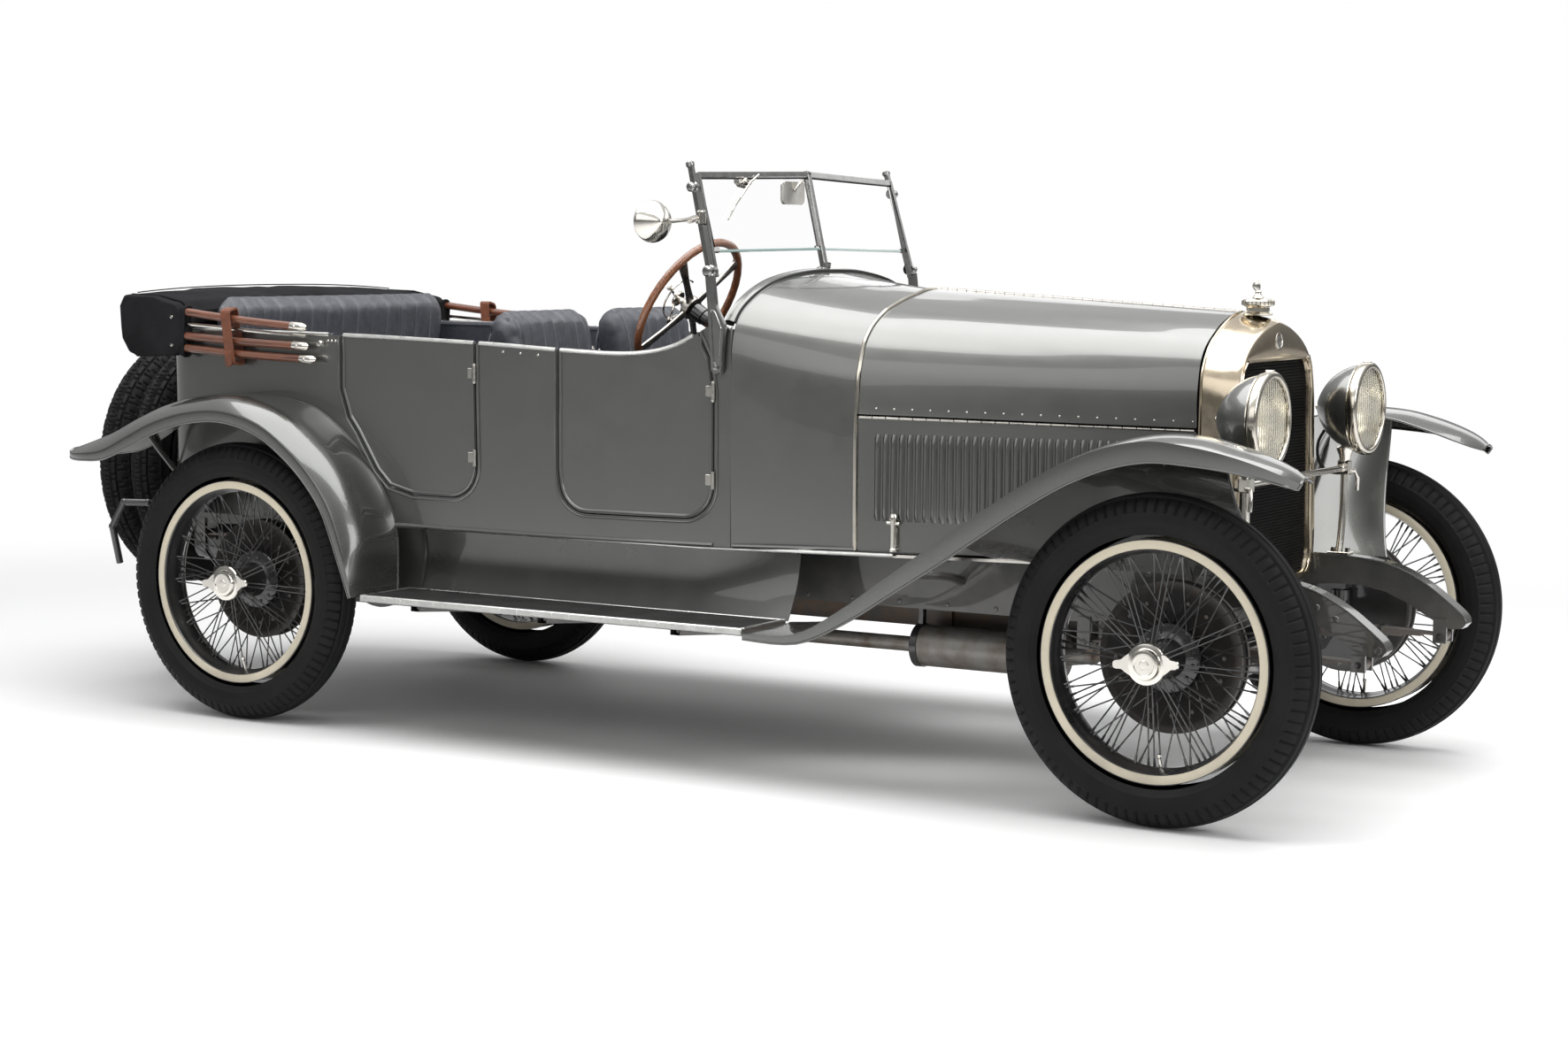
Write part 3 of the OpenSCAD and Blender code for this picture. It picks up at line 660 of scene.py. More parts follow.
@dataclass(frozen=True)
class Metal(Finish):
    """Bare or plated metal."""

    tarnish: float = 0.15
    grain: Point = (40.0, 40.0, 40.0)
    depth: float = 0.000008

    def dress(self, shader: Shader) -> None:
        """Adds fine polishing marks and a faint tarnish.

        Args:
            shader: The material being made.
        """
        shader.put(Metallic=1.0)
        cloud = shader.ramp(shader.noise(18, 5), 0.35, 0.75, 0, 1)
        self.shade(shader, shader.math("MULTIPLY", cloud, self.tarnish), 0.35)
        shader.link(shader.ramp(shader.noise(30, 5), 0.3, 0.8, self.gloss * 0.7, self.gloss * 1.5),
                    shader.surface.inputs["Roughness"])
        shader.bump(shader.noise(14, 3, where=shader.stretched(self.grain)), self.depth, 0.5)


@dataclass(frozen=True)
class Hide(Finish):
    """Leather with pebbled grain, pale creases and, on pleated pads, pale seams."""

    pitch: float = 0.0

    def dress(self, shader: Shader) -> None:
        """Adds grain, creases and a worn sheen.

        Args:
            shader: The material being made.
        """
        warped = shader.noise(60, 3)
        pebble = shader.cells(420, "DISTANCE_TO_EDGE")
        self.shade(shader, shader.ramp(warped, 0.3, 0.75, 0, 1), 1.7)
        if self.pitch:
            across = shader.tree.nodes.new("ShaderNodeSeparateXYZ")
            shader.link(shader.where, across.inputs[0])
            off = shader.math("PINGPONG", across.outputs["Y"], self.pitch / 2)
            seam = shader.ramp(off, 0.0012, 0.0042, 0.55, 0.0)
            plain = shader.surface.inputs["Base Color"].links[0].from_socket
            shader.link(shader.mix(seam, plain, (0.17, 0.175, 0.19)), shader.surface.inputs["Base Color"])
        shader.link(shader.ramp(shader.noise(22, 4), 0.3, 0.75, self.gloss * 0.8, self.gloss * 1.3),
                    shader.surface.inputs["Roughness"])
        shader.put(Specular_IOR_Level=0.45, Coat_Weight=0.12, Coat_Roughness=0.3)
        shader.bump(shader.ramp(pebble, 0.0, 0.25, 0, 1), 0.0005, 0.55)
        shader.bump(warped, 0.0012, 0.25)


@dataclass(frozen=True)
class Weave(Finish):
    """Woven cloth with threads both ways."""

    threads: float = 260.0

    def dress(self, shader: Shader) -> None:
        """Adds the threads, faded patches and sheen.

        Args:
            shader: The material being made.
        """
        a = shader.waves(self.threads, "X")
        b = shader.waves(self.threads, "Y")
        c = shader.waves(self.threads, "Z")
        cloth = shader.math("MAXIMUM", shader.math("MULTIPLY", a, c), b)
        self.shade(shader, shader.ramp(shader.noise(7, 5), 0.35, 0.7, 0, 1), 1.8)
        shader.put(Sheen_Weight=0.0, Specular_IOR_Level=0.1)
        shader.bump(cloth, 0.0005, 0.5)
        shader.bump(shader.noise(10, 4), 0.004, 0.35)


@dataclass(frozen=True)
class Timber(Finish):
    """Varnished wood with long grain."""

    along: Point = (2.0, 26.0, 26.0)

    def dress(self, shader: Shader) -> None:
        """Adds grain and varnish.

        Args:
            shader: The material being made.
        """
        at = shader.stretched(self.along)
        rings = shader.waves(3.2, "Y", at, 6.0)
        fine = shader.noise(14, 6, 0.6, at)
        both = shader.math("MULTIPLY", shader.math("ADD", rings, fine), 0.5)
        self.shade(shader, shader.ramp(both, 0.2, 0.8, 0, 1), 0.42)
        shader.put(Coat_Weight=0.8, Coat_Roughness=0.12)
        shader.bump(fine, 0.0002, 0.3)


@dataclass(frozen=True)
class Rubber(Finish):
    """Black rubber with a dusty bloom."""

    bloom: float = 0.35

    def dress(self, shader: Shader) -> None:
        """Adds a fine skin and grey bloom.

        Args:
            shader: The material being made.
        """
        cloud = shader.ramp(shader.noise(12, 6), 0.4, 0.8, 0, self.bloom)
        shader.link(shader.mix(cloud, self.colour, (0.075, 0.07, 0.065)),
                    shader.surface.inputs["Base Color"])
        shader.link(shader.ramp(shader.noise(24, 4), 0.3, 0.8, self.gloss, self.gloss * 1.35),
                    shader.surface.inputs["Roughness"])
        shader.put(Specular_IOR_Level=0.18)
        shader.bump(shader.noise(700, 3), 0.0002, 0.35)


@dataclass(frozen=True)
class Glazing(Finish):
    """Clear glass with light dust."""

    clear: float = 1.0
    bend: float = 1.45

    def dress(self, shader: Shader) -> None:
        """Adds transmission and dust."""
        shader.put(Transmission_Weight=self.clear, IOR=self.bend, Specular_IOR_Level=0.5)
        shader.link(shader.ramp(shader.noise(20, 4), 0.45, 0.8, self.gloss, self.gloss + 0.04),
                    shader.surface.inputs["Roughness"])


@dataclass(frozen=True)
class Rough(Finish):
    """Cast, oily or weathered metal."""

    stain: tuple[float, float, float] = (0.12, 0.07, 0.04)

    def dress(self, shader: Shader) -> None:
        """Adds casting grain, stains and pale edges.

        Args:
            shader: The material being made.
        """
        shader.put(Metallic=0.6)
        patch = shader.ramp(shader.noise(16, 6), 0.4, 0.7, 0, 0.8)
        aged = shader.mix(patch, self.colour, self.stain)
        edge = shader.mix(shader.math("MULTIPLY", shader.worn(), 0.4), aged, (0.30, 0.28, 0.26))
        shader.link(edge, shader.surface.inputs["Base Color"])
        shader.bump(shader.noise(220, 5), 0.0008, 0.5)


PAINT = Enamel("grey_paint", (0.140, 0.142, 0.134), 0.31, metallic=0.78)
# Wing grey: the body paint darkened, painted shade on the wings, their wired edges and the aprons. On the
# dumb iron tops it is lighter than the frame paint, a painted highlight.
SHADED_WING_PAINT = Enamel("wing_paint", (0.098, 0.100, 0.094), 0.25, metallic=0.78)
# Valance grey: the body paint darkened, painted shade on the valances under the body's edge.
SHADED_VALANCE_PAINT = Enamel("valance_paint", (0.062, 0.063, 0.060), 0.28, metallic=0.6)
FRAME_PAINT = Enamel("frame_paint", (0.055, 0.055, 0.053), 0.30, slot="black_enamel", metallic=0.3,
                     dust=0.35)
BLACK = Enamel("black_enamel_gloss", (0.010, 0.010, 0.011), 0.28, slot="black_enamel", dust=0.10)
CREAM = Enamel("cream_rim_band", (0.62, 0.56, 0.43), 0.42, slot="black_enamel", coat=0.3, dust=0.5)
NICKEL = Metal("nickel_shell", (0.60, 0.515, 0.39), 0.16, slot="chrome_polished", tarnish=0.12)
CHROME = Metal("bright_nickel", (0.80, 0.77, 0.71), 0.14, slot="chrome_polished", tarnish=0.2)
LAMP_NICKEL = Metal("lamp_nickel", (0.70, 0.66, 0.58), 0.16, slot="chrome_polished", tarnish=0.25)
SCREEN_STEEL = Metal("screen_steel", (0.36, 0.36, 0.355), 0.20, slot="chrome_polished", tarnish=0.0,
                     grain=(4.0, 4.0, 4.0))
DULL_NICKEL = Metal("dull_nickel", (0.52, 0.50, 0.46), 0.30, slot="chrome_polished", tarnish=0.4)
ALLOY = Metal("brushed_alloy", (0.62, 0.62, 0.60), 0.32, slot="chrome_polished", tarnish=0.3,
              grain=(4.0, 90.0, 90.0))
SILVER = Metal("reflector_silver", (0.78, 0.75, 0.66), 0.22, slot="chrome_polished", tarnish=0.1)
CORE = Enamel("core_black_metal", (0.012, 0.012, 0.012), 0.5, slot="core_black", metallic=0.4, coat=0.0)
HIDE = Hide("blue_grey_hide", (0.030, 0.033, 0.041), 0.42, slot="leather_soft")
FRONT_HIDE = Hide("front_pleated_hide", (0.034, 0.037, 0.045), 0.40, slot="leather_soft", pitch=0.054)
# Rear seat hide: the seat leather made lighter, painted light on the rear seat.
LIT_REAR_HIDE = Hide("rear_pleated_hide", (0.046, 0.049, 0.057), 0.40, slot="leather_soft", pitch=0.074)
PIPING = Hide("hide_piping", (0.022, 0.026, 0.036), 0.38, slot="leather_soft")
STRAP = Hide("brown_strap_hide", (0.125, 0.040, 0.018), 0.45, slot="leather_soft")
CANVAS = Weave("black_canvas", (0.0105, 0.0105, 0.0115), 0.9, slot="fabric_woven")
CARPET = Weave("floor_carpet", (0.020, 0.020, 0.024), 0.95, slot="fabric_woven", threads=120.0)
WOOD = Timber("varnished_bow_wood", (0.20, 0.066, 0.032), 0.35, slot="wood_varnished_2")
RIM_WOOD = Timber("wheel_rim_wood", (0.30, 0.115, 0.05), 0.30, slot="wood_varnished_2",
                  along=(18.0, 18.0, 18.0))
DASH_WOOD = Timber("dash_wood", (0.24, 0.09, 0.035), 0.3, slot="wood_varnished", along=(20.0, 3.0, 30.0))
TREAD = Rubber("tyre_rubber", (0.0065, 0.0065, 0.0068), 0.52, slot="tyre_matt", bloom=0.07)
MAT = Rubber("board_rubber", (0.014, 0.014, 0.014), 0.55, slot="rubber_ribbed")
PANE = Glazing("screen_glass", (1.0, 1.0, 1.0), 0.0, slot="glass_clear", bend=1.25)
PANE_EDGE = Enamel("screen_glass_edge", (0.26, 0.36, 0.34), 0.15, slot="glass_clear", dust=0.0)
LENS = Glazing("lamp_glass", (0.97, 0.95, 0.88), 0.14, slot="glass_clear")
DRUM_IRON = Rough("drum_black_iron", (0.014, 0.013, 0.013), 0.5, slot="cast_iron_rough",
                  stain=(0.030, 0.022, 0.017))
IRON = Rough("cast_iron_oily", (0.07, 0.065, 0.06), 0.5, slot="cast_iron_rough")
PIPE = Rough("exhaust_iron", (0.30, 0.29, 0.27), 0.45, slot="cast_iron_rough", stain=(0.13, 0.085, 0.055))
STEEL = Metal("plain_steel", (0.42, 0.41, 0.40), 0.35, slot="chrome_polished", tarnish=0.5)
DIAL = Enamel("dial_face", (0.60, 0.58, 0.52), 0.5, slot="black_enamel", coat=0.0, dust=0.0)


# ---------------------------------------------------------------- pieces


def build(draft: Draft, name: str, finish: Finish, body: str = "chassis", replaces: Iterable[str] = (),
          sharp: float = 35.0, solid: float = 0.0, subdivide: int = 0,
          bevel: float = 0.0) -> bpy.types.Object:
    """Turns a draft into a finished piece that rides on a body.

    Args:
        draft: The mesh in car millimetres.
        name: The piece's name.
        finish: Its finish.
        body: The body it rides on.
        replaces: CAD nodes it stands for.
        sharp: Angle in degrees above which an edge stays sharp.
        solid: Thickness in millimetres given to an open surface, inwards.
        subdivide: Number of subdivisions.
        bevel: Width in millimetres of rounded sharp edges.

    Returns:
        The new object.
    """
    mesh = bpy.data.meshes.new(name)
    mesh.from_pydata([place(p) for p in draft.points], [], draft.faces)
    piece = bpy.data.objects.new(name, mesh)
    bpy.context.scene.collection.objects.link(piece)
    shape = bmesh.new()
    shape.from_mesh(mesh)
    bmesh.ops.remove_doubles(shape, verts=shape.verts, dist=1e-5)
    bmesh.ops.recalc_face_normals(shape, faces=shape.faces)
    shape.to_mesh(mesh)
    shape.free()
    if solid:
        change = piece.modifiers.new("thickness", "SOLIDIFY")
        change.thickness = solid / 1000
        change.offset = -1
        change.use_even_offset = True
    if bevel:
        change = piece.modifiers.new("edges", "BEVEL")
        change.width = bevel / 1000
        change.segments = 2
        change.limit_method = "ANGLE"
        change.angle_limit = math.radians(40)
    if subdivide:
        change = piece.modifiers.new("smooth", "SUBSURF")
        change.levels = change.render_levels = subdivide
    settle(piece)
    smooth(piece, sharp)
    return dress(piece, finish, body, replaces)


def settle(piece: bpy.types.Object) -> None:
    """Applies a piece's modifiers, so that its mesh is what shows.

    Args:
        piece: The object.
    """
    if not piece.modifiers:
        return
    bpy.context.view_layer.update()
    graph = bpy.context.evaluated_depsgraph_get()
    fresh = bpy.data.meshes.new_from_object(piece.evaluated_get(graph))
    piece.modifiers.clear()
    piece.data = fresh


def smooth(piece: bpy.types.Object, sharp: float) -> None:
    """Shades a piece smooth, with edges above an angle left sharp.

    Args:
        piece: The object.
        sharp: The angle, in degrees.
    """
    piece.data.polygons.foreach_set("use_smooth", [True] * len(piece.data.polygons))
    piece.data.set_sharp_from_angle(angle=math.radians(sharp))
    piece.data.update()


def dress(piece: bpy.types.Object, finish: Finish, body: str,
          replaces: Iterable[str] = ()) -> bpy.types.Object:
    """Gives a piece its finish and its body.

    Args:
        piece: The object.
        finish: Its finish.
        body: The body it rides on.
        replaces: CAD nodes it stands for.

    Returns:
        The object.
    """
    piece.data.materials.clear()
    piece.data.materials.append(finish.material())
    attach(piece, body)
    for node in replaces:
        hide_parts(node)
    LOG.info("%s: %d faces on %s", piece.name, len(piece.data.polygons), body)
    return piece


def cut(draft: Draft, tools: Sequence[Draft], name: str, solid: float = 0.0, keep: bool = False) -> Draft:
    """Cuts tools out of a closed draft, or keeps only what lies inside the first tool.

    Args:
        draft: The draft to cut, closed or to be thickened.
        tools: Closed drafts.
        name: Name used while working.
        solid: Thickness given first, inwards.
        keep: Whether the part inside is kept instead.

    Returns:
        The cut draft.
    """
    made = []
    for part in (draft, *tools):
        mesh = bpy.data.meshes.new(name)
        mesh.from_pydata([Vector(p) / 1000 for p in part.points], [], part.faces)
        shape = bmesh.new()
        shape.from_mesh(mesh)
        bmesh.ops.remove_doubles(shape, verts=shape.verts, dist=1e-6)
        bmesh.ops.recalc_face_normals(shape, faces=shape.faces)
        shape.to_mesh(mesh)
        shape.free()
        thing = bpy.data.objects.new(name, mesh)
        bpy.context.scene.collection.objects.link(thing)
        made.append(thing)
    main = made[0]
    if solid:
        change = main.modifiers.new("thickness", "SOLIDIFY")
        change.thickness = solid / 1000
        change.offset = -1
        change.use_even_offset = True
    for tool in made[1:]:
        change = main.modifiers.new("cut", "BOOLEAN")
        change.operation = "INTERSECT" if keep else "DIFFERENCE"
        change.solver = "EXACT"
        change.object = tool
    settle(main)
    out = Draft([tuple(v.co * 1000) for v in main.data.vertices],
                [tuple(f.vertices) for f in main.data.polygons])
    for thing in made:
        bpy.data.objects.remove(thing)
    return out


# ---------------------------------------------------------------- body


@dataclass
class BodyShell:
    """Open four-seat body: walls, doors, beads and linings.

    Sizes are in millimetres.
    """

    wall: float = 28.0
    gap: float = 4.0
    front_x: float = 1602.0
    bead: float = 4.5
    plan: tuple = ((-449, 0), (-449, 300), (-446, 420), (-430, 490), (-400, 545), (-350, 580), (-280, 596),
                   (-150, 600),
                   (300, 602), (800, 600), (1068, 596), (1300, 582), (1470, 562), (1602, 546))
    rail: tuple = ((-470, 1136), (-251, 1140), (290, 1137), (771, 1125), (1068, 1112), (1250, 1106),
                   (1349, 1112),
                   (1424, 1129), (1482, 1156), (1533, 1186), (1560, 1192), (1602, 1180))
    front_door: tuple = ((1068, 1500, 0), (1068, 780, 0), (1082, 664, 90), (1552, 664, 90), (1552, 1010, 0),
                         (1540, 1100, 60), (1494, 1190, 0), (1494, 1500, 0))
    rear_door: tuple = ((300, 1500, 0), (300, 980, 30), (328, 900, 20), (359, 860, 20), (428, 752, 40),
                        (476, 706, 20), (560, 686, 60), (790, 686, 90), (784, 1000, 0), (784, 1500, 0))

    def __post_init__(self) -> None:
        """Works out the smooth plan and rail curves."""
        self.path = np.array(smooth_curve(self.plan, 10))
        rail = np.array(smooth_curve(self.rail, 8))
        self.rail_x, self.rail_z = rail[:, 0], rail[:, 1]
        side = self.path[np.argmax(self.path[:, 1] > 590):]
        self.side_x, self.side_y = side[:, 0], side[:, 1]

    def top(self, x: float) -> float:
        """Height of the top rail at x."""
        return float(np.interp(x, self.rail_x, self.rail_z))

    def flank(self, x: float) -> float:
        """Half the body's width at x, along the doors."""
        return float(np.interp(x, self.side_x, self.side_y))

    def wall_draft(self, inset: float = 0.0, low: float = SILL_Z, drop: float = 0.0, x0: float = -600.0,
                   x1: float = 1700.0) -> Draft:
        """Left half of the body's skin.

        Args:
            inset: How far inside the outer face.
            low: Height of its lower edge.
            drop: How far below the rail it stops.
            x0: Rear limit.
            x1: Front limit.

        Returns:
            An open surface.
        """
        rows = []
        for i, (x, y) in enumerate(self.path):
            a, b = self.path[max(i - 1, 0)], self.path[min(i + 1, len(self.path) - 1)]
            t = (b - a) / np.linalg.norm(b - a)
            px, py = x + t[1] * inset, max(y - t[0] * inset, 0.0)
            if x0 <= px <= x1:
                rows.append([(px, py, low + (self.top(x) - drop - low) * k / 16) for k in range(17)])
        return Draft().grid(rows)

    def outline(self, door: str, grow: float) -> list[tuple[float, float]]:
        """A door's outline in x and z.

        Args:
            door: front or rear.
            grow: How far outside the door's line.

        Returns:
            Points of the outline.
        """
        corners = self.front_door if door == "front" else self.rear_door
        n = len(corners)
        moved = []
        for i, (x, z, r) in enumerate(corners):
            a, b = Vector(corners[i - 1][:2]), Vector(corners[(i + 1) % n][:2])
            u, v = (Vector((x, z)) - a).normalized(), (b - Vector((x, z))).normalized()
            left, right = Vector((-u.y, u.x)), Vector((-v.y, v.x))
            out = (left + right) / max(1 + left.dot(right), 0.2)
            moved.append((x - out.x * grow, z - out.y * grow, max(r + grow * (1 if r else 0), 0)))
        return rounded(moved, 8)

    def tool(self, door: str, grow: float) -> Draft:
        """Closed block that cuts a door out of the wall."""
        return Draft().slab(self.outline(door, grow), 300, 900, lambda u, v, w: (u, w, v))

    def on_side(self, x: float, z: float, proud: float = 0.0) -> Point:
        """Place on the outer face of the left side."""
        return (x, self.flank(x) + proud, z)

    def bead_path(self, door: str, grow: float, proud: float) -> list[Point]:
        """Path of a bead along a door's edge, below the rail.

        Args:
            door: front or rear.
            grow: How far outside the door's line.
            proud: How far it stands off the face.

        Returns:
            The path.
        """
        points = [p for p in self.outline(door, grow) if p[1] < 1400]
        dense = []
        for a, b in zip(points, points[1:]):
            n = max(int(math.dist(a, b) / 25), 1)
            dense.extend(blend_points(a, b, k / n) for k in range(n))
        dense.append(points[-1])
        start = dense[0][0]
        path = [(start, self.top(start) - 3)] + [p for p in dense if p[1] < self.top(p[0]) - 6]
        path.append((path[-1][0], self.top(path[-1][0]) - 3))
        return [self.on_side(x, z, proud) for x, z in path]

    def both(self, draft: Draft) -> Draft:
        """The draft and its mirror image."""
        return Draft().add(draft).add(draft, mirrored)

    def tub(self) -> None:
        """Fixed walls with their beads and rivets."""
        skin = cut(self.wall_draft(), [self.tool("front", self.gap / 2), self.tool("rear", self.gap / 2)],
                   "tub", self.wall)
        build(self.both(skin), "tub_skin", PAINT, replaces=("body_tub",), sharp=30)
        beads = Draft()
        for door in ("front", "rear"):
            beads.tube(self.bead_path(door, self.gap / 2 + 7, 0.5), self.bead, 8)
        build(self.both(beads), "tub_door_beads", PAINT)
        sill = Draft().tube([self.on_side(x, SILL_Z + 4, 1) for x in range(450, 1600, 50)], 6, 8)
        sill.tube([(x, 544 - (x - 1606) * 0.323 + 1, SILL_Z + 4) for x in (1608, 1700, 1800, 1926)], 6, 8)
        build(self.both(sill), "tub_sill_moulding", PAINT)
        rails = Draft()
        for x0, x1 in ((-600, 293), (797, 1059), (1562, 1601)):
            rails.tube(self.rail_path(x0, x1), 6.5, 10)
        build(self.both(rails), "tub_rail_trim", ALLOY)
        rivets = Draft()
        for x in [248 + 14 * k for k in range(3)] + [880 + 60 * k for k in range(3)]:
            rivets.turned([(0, 2.2), (2.6, 1.6), (3.8, 0)], self.on_side(x, self.top(x) - 17), (0, 1, 0),
                          10)
        build(self.both(rivets), "tub_rail_screws", CHROME)
        self.lining()

    def rail_path(self, x0: float, x1: float, inset: float = 3.0, drop: float = -1.0) -> Rows:
        """Path along the top of the wall.

        Args:
            x0: Rear limit.
            x1: Front limit.
            inset: How far inside the outer face.
            drop: How far below the rail.

        Returns:
            The path.
        """
        out = []
        for i, (x, y) in enumerate(self.path):
            a, b = self.path[max(i - 1, 0)], self.path[min(i + 1, len(self.path) - 1)]
            t = (b - a) / np.linalg.norm(b - a)
            if x0 <= x <= x1:
                out.append((x + t[1] * inset, y - t[0] * inset, self.top(x) - drop))
        if x0 > -500:
            out.insert(0, (x0, self.flank(x0) - inset, self.top(x0) - drop))
            out.append((x1, self.flank(x1) - inset, self.top(x1) - drop))
        return out

    def lining(self) -> None:
        """Hide lining and padded roll inside the fixed walls."""
        panel = self.wall_draft(self.wall + 1.5, SILL_Z + 20, 12, x1=1590)
        skin = cut(panel, [self.tool("front", self.gap + 8), self.tool("rear", self.gap + 8)], "lining", 5)
        build(self.both(skin), "tub_lining", HIDE, sharp=30)
        roll = Draft()
        for x0, x1 in ((-600, 288), (802, 1054)):
            roll.tube(self.rail_path(x0, x1, 24, 6), 11, 10)
        build(self.both(roll), "tub_padded_roll", HIDE)

    def door(self, which: str, side: Side) -> None:
        """One door with its beads, lining, trim, hinges and handle.

        Args:
            which: front or rear.
            side: Side of the car.
        """
        name = f"{which}_{side.word}_door"
        flip = mirrored if side is Side.RIGHT else (lambda p: p)
        panel = cut(self.wall_draft(), [self.tool(which, -self.gap / 2)], "door", self.wall, keep=True)
        build(Draft().add(panel, flip), name + "_skin", PAINT, name, (name,), sharp=30)
        bead = Draft().tube(self.bead_path(which, -self.gap / 2 - 6, 0.5), self.bead, 8)
        build(Draft().add(bead, flip), name + "_bead", PAINT, name)
        x0, x1 = (1074, 1488) if which == "front" else (306, 778)
        trim = Draft().tube(self.rail_path(x0, x1), 6.5, 10)
        build(Draft().add(trim, flip), name + "_rail_trim", ALLOY, name)
        inner = cut(self.wall_draft(self.wall + 1.5, SILL_Z + 20, 12, 200, 1590),
                    [self.tool(which, -self.gap - 8)], "in", 5, keep=True)
        build(Draft().add(inner, flip), name + "_lining", HIDE, name, sharp=30)
        roll = Draft().tube(self.rail_path(x0 + 6, x1 - 8, 24, 6), 11, 10)
        build(Draft().add(roll, flip), name + "_padded_roll", HIDE, name)
        fittings = Draft()
        hinge_x, hinge_y = (1554, 560) if which == "front" else (783, 604)
        for z in (1012, 772) if which == "front" else (1040, 802):
            at = (hinge_x, hinge_y, z)
            fittings.tube([(at[0], at[1], z - 24), (at[0], at[1], z + 24)], 5.5, 12)
            fittings.block((at[0] - 26, at[1] - 6, z - 15), (at[0], at[1] - 2, z + 15), 1)
        for z in (-25, 25):
            at = (hinge_x, hinge_y, (1012 if which == "front" else 1040) + z)
            fittings.turned([(0, 5), (4, 3), (6, -2)], at, (0, 0, 1 if z > 0 else -1), 12)
        build(Draft().add(fittings, flip), name + "_hinges", DULL_NICKEL, name)
        latch = Draft()
        x = (1100 if which == "front" else 350)
        y = self.flank(x) - self.wall - 8
        z = self.top(x) - 70
        latch.turned([(0, 6), (9, 6), (12, 0), (12, -6)], (x + 14, y, z), (0, -1, 0), 20)
        latch.tube(smooth_curve([(x + 14, y - 6, z), (x + 50, y - 14, z - 2), (x + 92, y - 12, z - 3)], 6),
                   [5, 5] + [4] * 11, 10)
        build(Draft().add(latch, flip), name + "_inner_handle", CHROME, name)

    def make(self) -> None:
        """Builds the tub and all four doors."""
        self.tub()
        for side in Side:
            self.door("front", side)
            self.door("rear", side)


@dataclass
class Cowl:
    """Scuttle between the doors and the bonnet, with its rim, and the dashboard."""

    back_x: float = 1602.8
    front_x: float = 1928.0
    thick: float = 10.0
    back: tuple = ((0, 1331), (90, 1330), (170, 1325), (252, 1315), (326, 1301), (392, 1280), (440, 1259),
                   (482, 1235),
                   (510, 1211), (530, 1180), (542, 1130), (547, 1060), (548, 900), (546, 740), (544, 593))
    front: tuple = ((0, 1286), (60, 1282), (118, 1271), (180, 1258), (233, 1244), (280, 1230), (315, 1214),
                    (348, 1195),
                    (373, 1175), (400, 1143), (424, 1082), (434, 1030), (441, 890), (441, 740), (440, 593))

    def row(self, t: float, scale: float = 1.0, low: float = 0.0) -> list[Point]:
        """Cross-section at a fraction of its length.

        Args:
            t: Fraction from back to front.
            scale: Size against the skin.
            low: Height below which points are dropped.

        Returns:
            Points from the left foot over the top to the right foot.
        """
        w = t + 0.35 * t * (1 - t)
        x = self.back_x + (self.front_x - self.back_x) * t
        half = smooth_curve([blend_points(a, b, w) for a, b in zip(self.back, self.front)], 5)
        half = [(y * scale, 600 + (z - 600) * scale) for y, z in half if z >= low]
        return [(x, y, z) for y, z in reversed(half)] + [(x, -y, z) for y, z in half[1:]]

    def make(self) -> None:
        """Builds the skin, rim, beads and dashboard."""
        skin = Draft().grid([self.row(k / 16) for k in range(17)])
        build(skin, "cowl_skin", PAINT, replaces=("cowl",), solid=self.thick, sharp=40)
        flange = [p for p in self.row(0.0) if p[2] > 1190]
        lip = Draft().grid([[(p[0] + dx, p[1] * k, p[2] + dz) for p in flange]
                            for dx, dz, k in ((3, 0, 1.0), (-4, 6, 1.006), (-16, 10, 1.01),
                                              (-30, 10, 1.01), (-34, 4, 1.0),
                                              (-30, -4, 0.99), (-12, -7, 0.985))])
        build(lip, "cowl_rim", PAINT, sharp=60)
        seal = Draft().tube([(p[0] - 2, p[1] * 1.002, p[2] + 3) for p in flange][::2], 4.5, 8)
        build(seal, "cowl_rim_seal", MAT)
        bead = Draft().tube([(self.front_x + 2, p[1] * 1.004, p[2] + 2) for p in self.row(1.0)], 6, 8)
        build(bead, "cowl_front_bead", LAMP_NICKEL)
        bulkhead = self.row(0.93, 0.965)
        plate = Draft().slab([(p[1], p[2]) for p in bulkhead], 1900, 1905, lambda u, v, w: (w, u, v))
        build(plate, "cowl_bulkhead", ALLOY)
        self.dashboard()

    def dashboard(self) -> None:
        """Wooden dashboard with round dials and switches."""
        edge = [(p[1], p[2]) for p in self.row(0.12, 0.972) if p[2] > 1022]
        board = Draft().slab(edge, 1642, 1660, lambda u, v, w: (w, u, v), 2)
        build(board, "dash_board", DASH_WOOD, replaces=("dashboard",))
        rims, faces, marks, hands = Draft(), Draft(), Draft(), Draft()
        for y, z, r in ((-60, 1168, 52), (60, 1168, 52), (180, 1160, 36), (-420, 1120, 30),
                        (280, 1150, 30)):
            rims.turned([(r - 4, 2), (r, 4), (r + 3, 8), (r + 5, 3), (r + 5, -2)], (1640, y, z),
                        (-1, 0, 0), 40)
            faces.turned([(0, 1), (r - 3, 1)], (1640, y, z), (-1, 0, 0), 40)
            for k in range(11):
                a = math.radians(-140 + 28 * k)
                p = (1638.6, y + math.sin(a) * (r - 10), z + math.cos(a) * (r - 10))
                q = (1638.6, y + math.sin(a) * (r - 5), z + math.cos(a) * (r - 5))
                marks.tube([p, q], 0.8, 4)
            hands.tube([(1637.6, y, z), (1637.6, y - (r - 14) * 0.6, z + (r - 14) * 0.7)], [1.4, 0.5], 6)
        for y, z in ((-140, 1120), (-180, 1120), (340, 1120), (380, 1120), (120, 1090), (0, 1090),
                     (-120, 1200)):
            rims.turned([(0, 18), (7, 17), (8, 12), (4, 9), (4, 2), (10, 1), (10, -2)], (1640, y, z),
                        (-1, 0, 0), 20)
        build(rims, "dash_rims_and_knobs", CHROME)
        build(faces, "dash_dial_faces", DIAL)
        build(marks, "dash_dial_marks", BLACK)
        build(hands, "dash_dial_hands", BLACK)


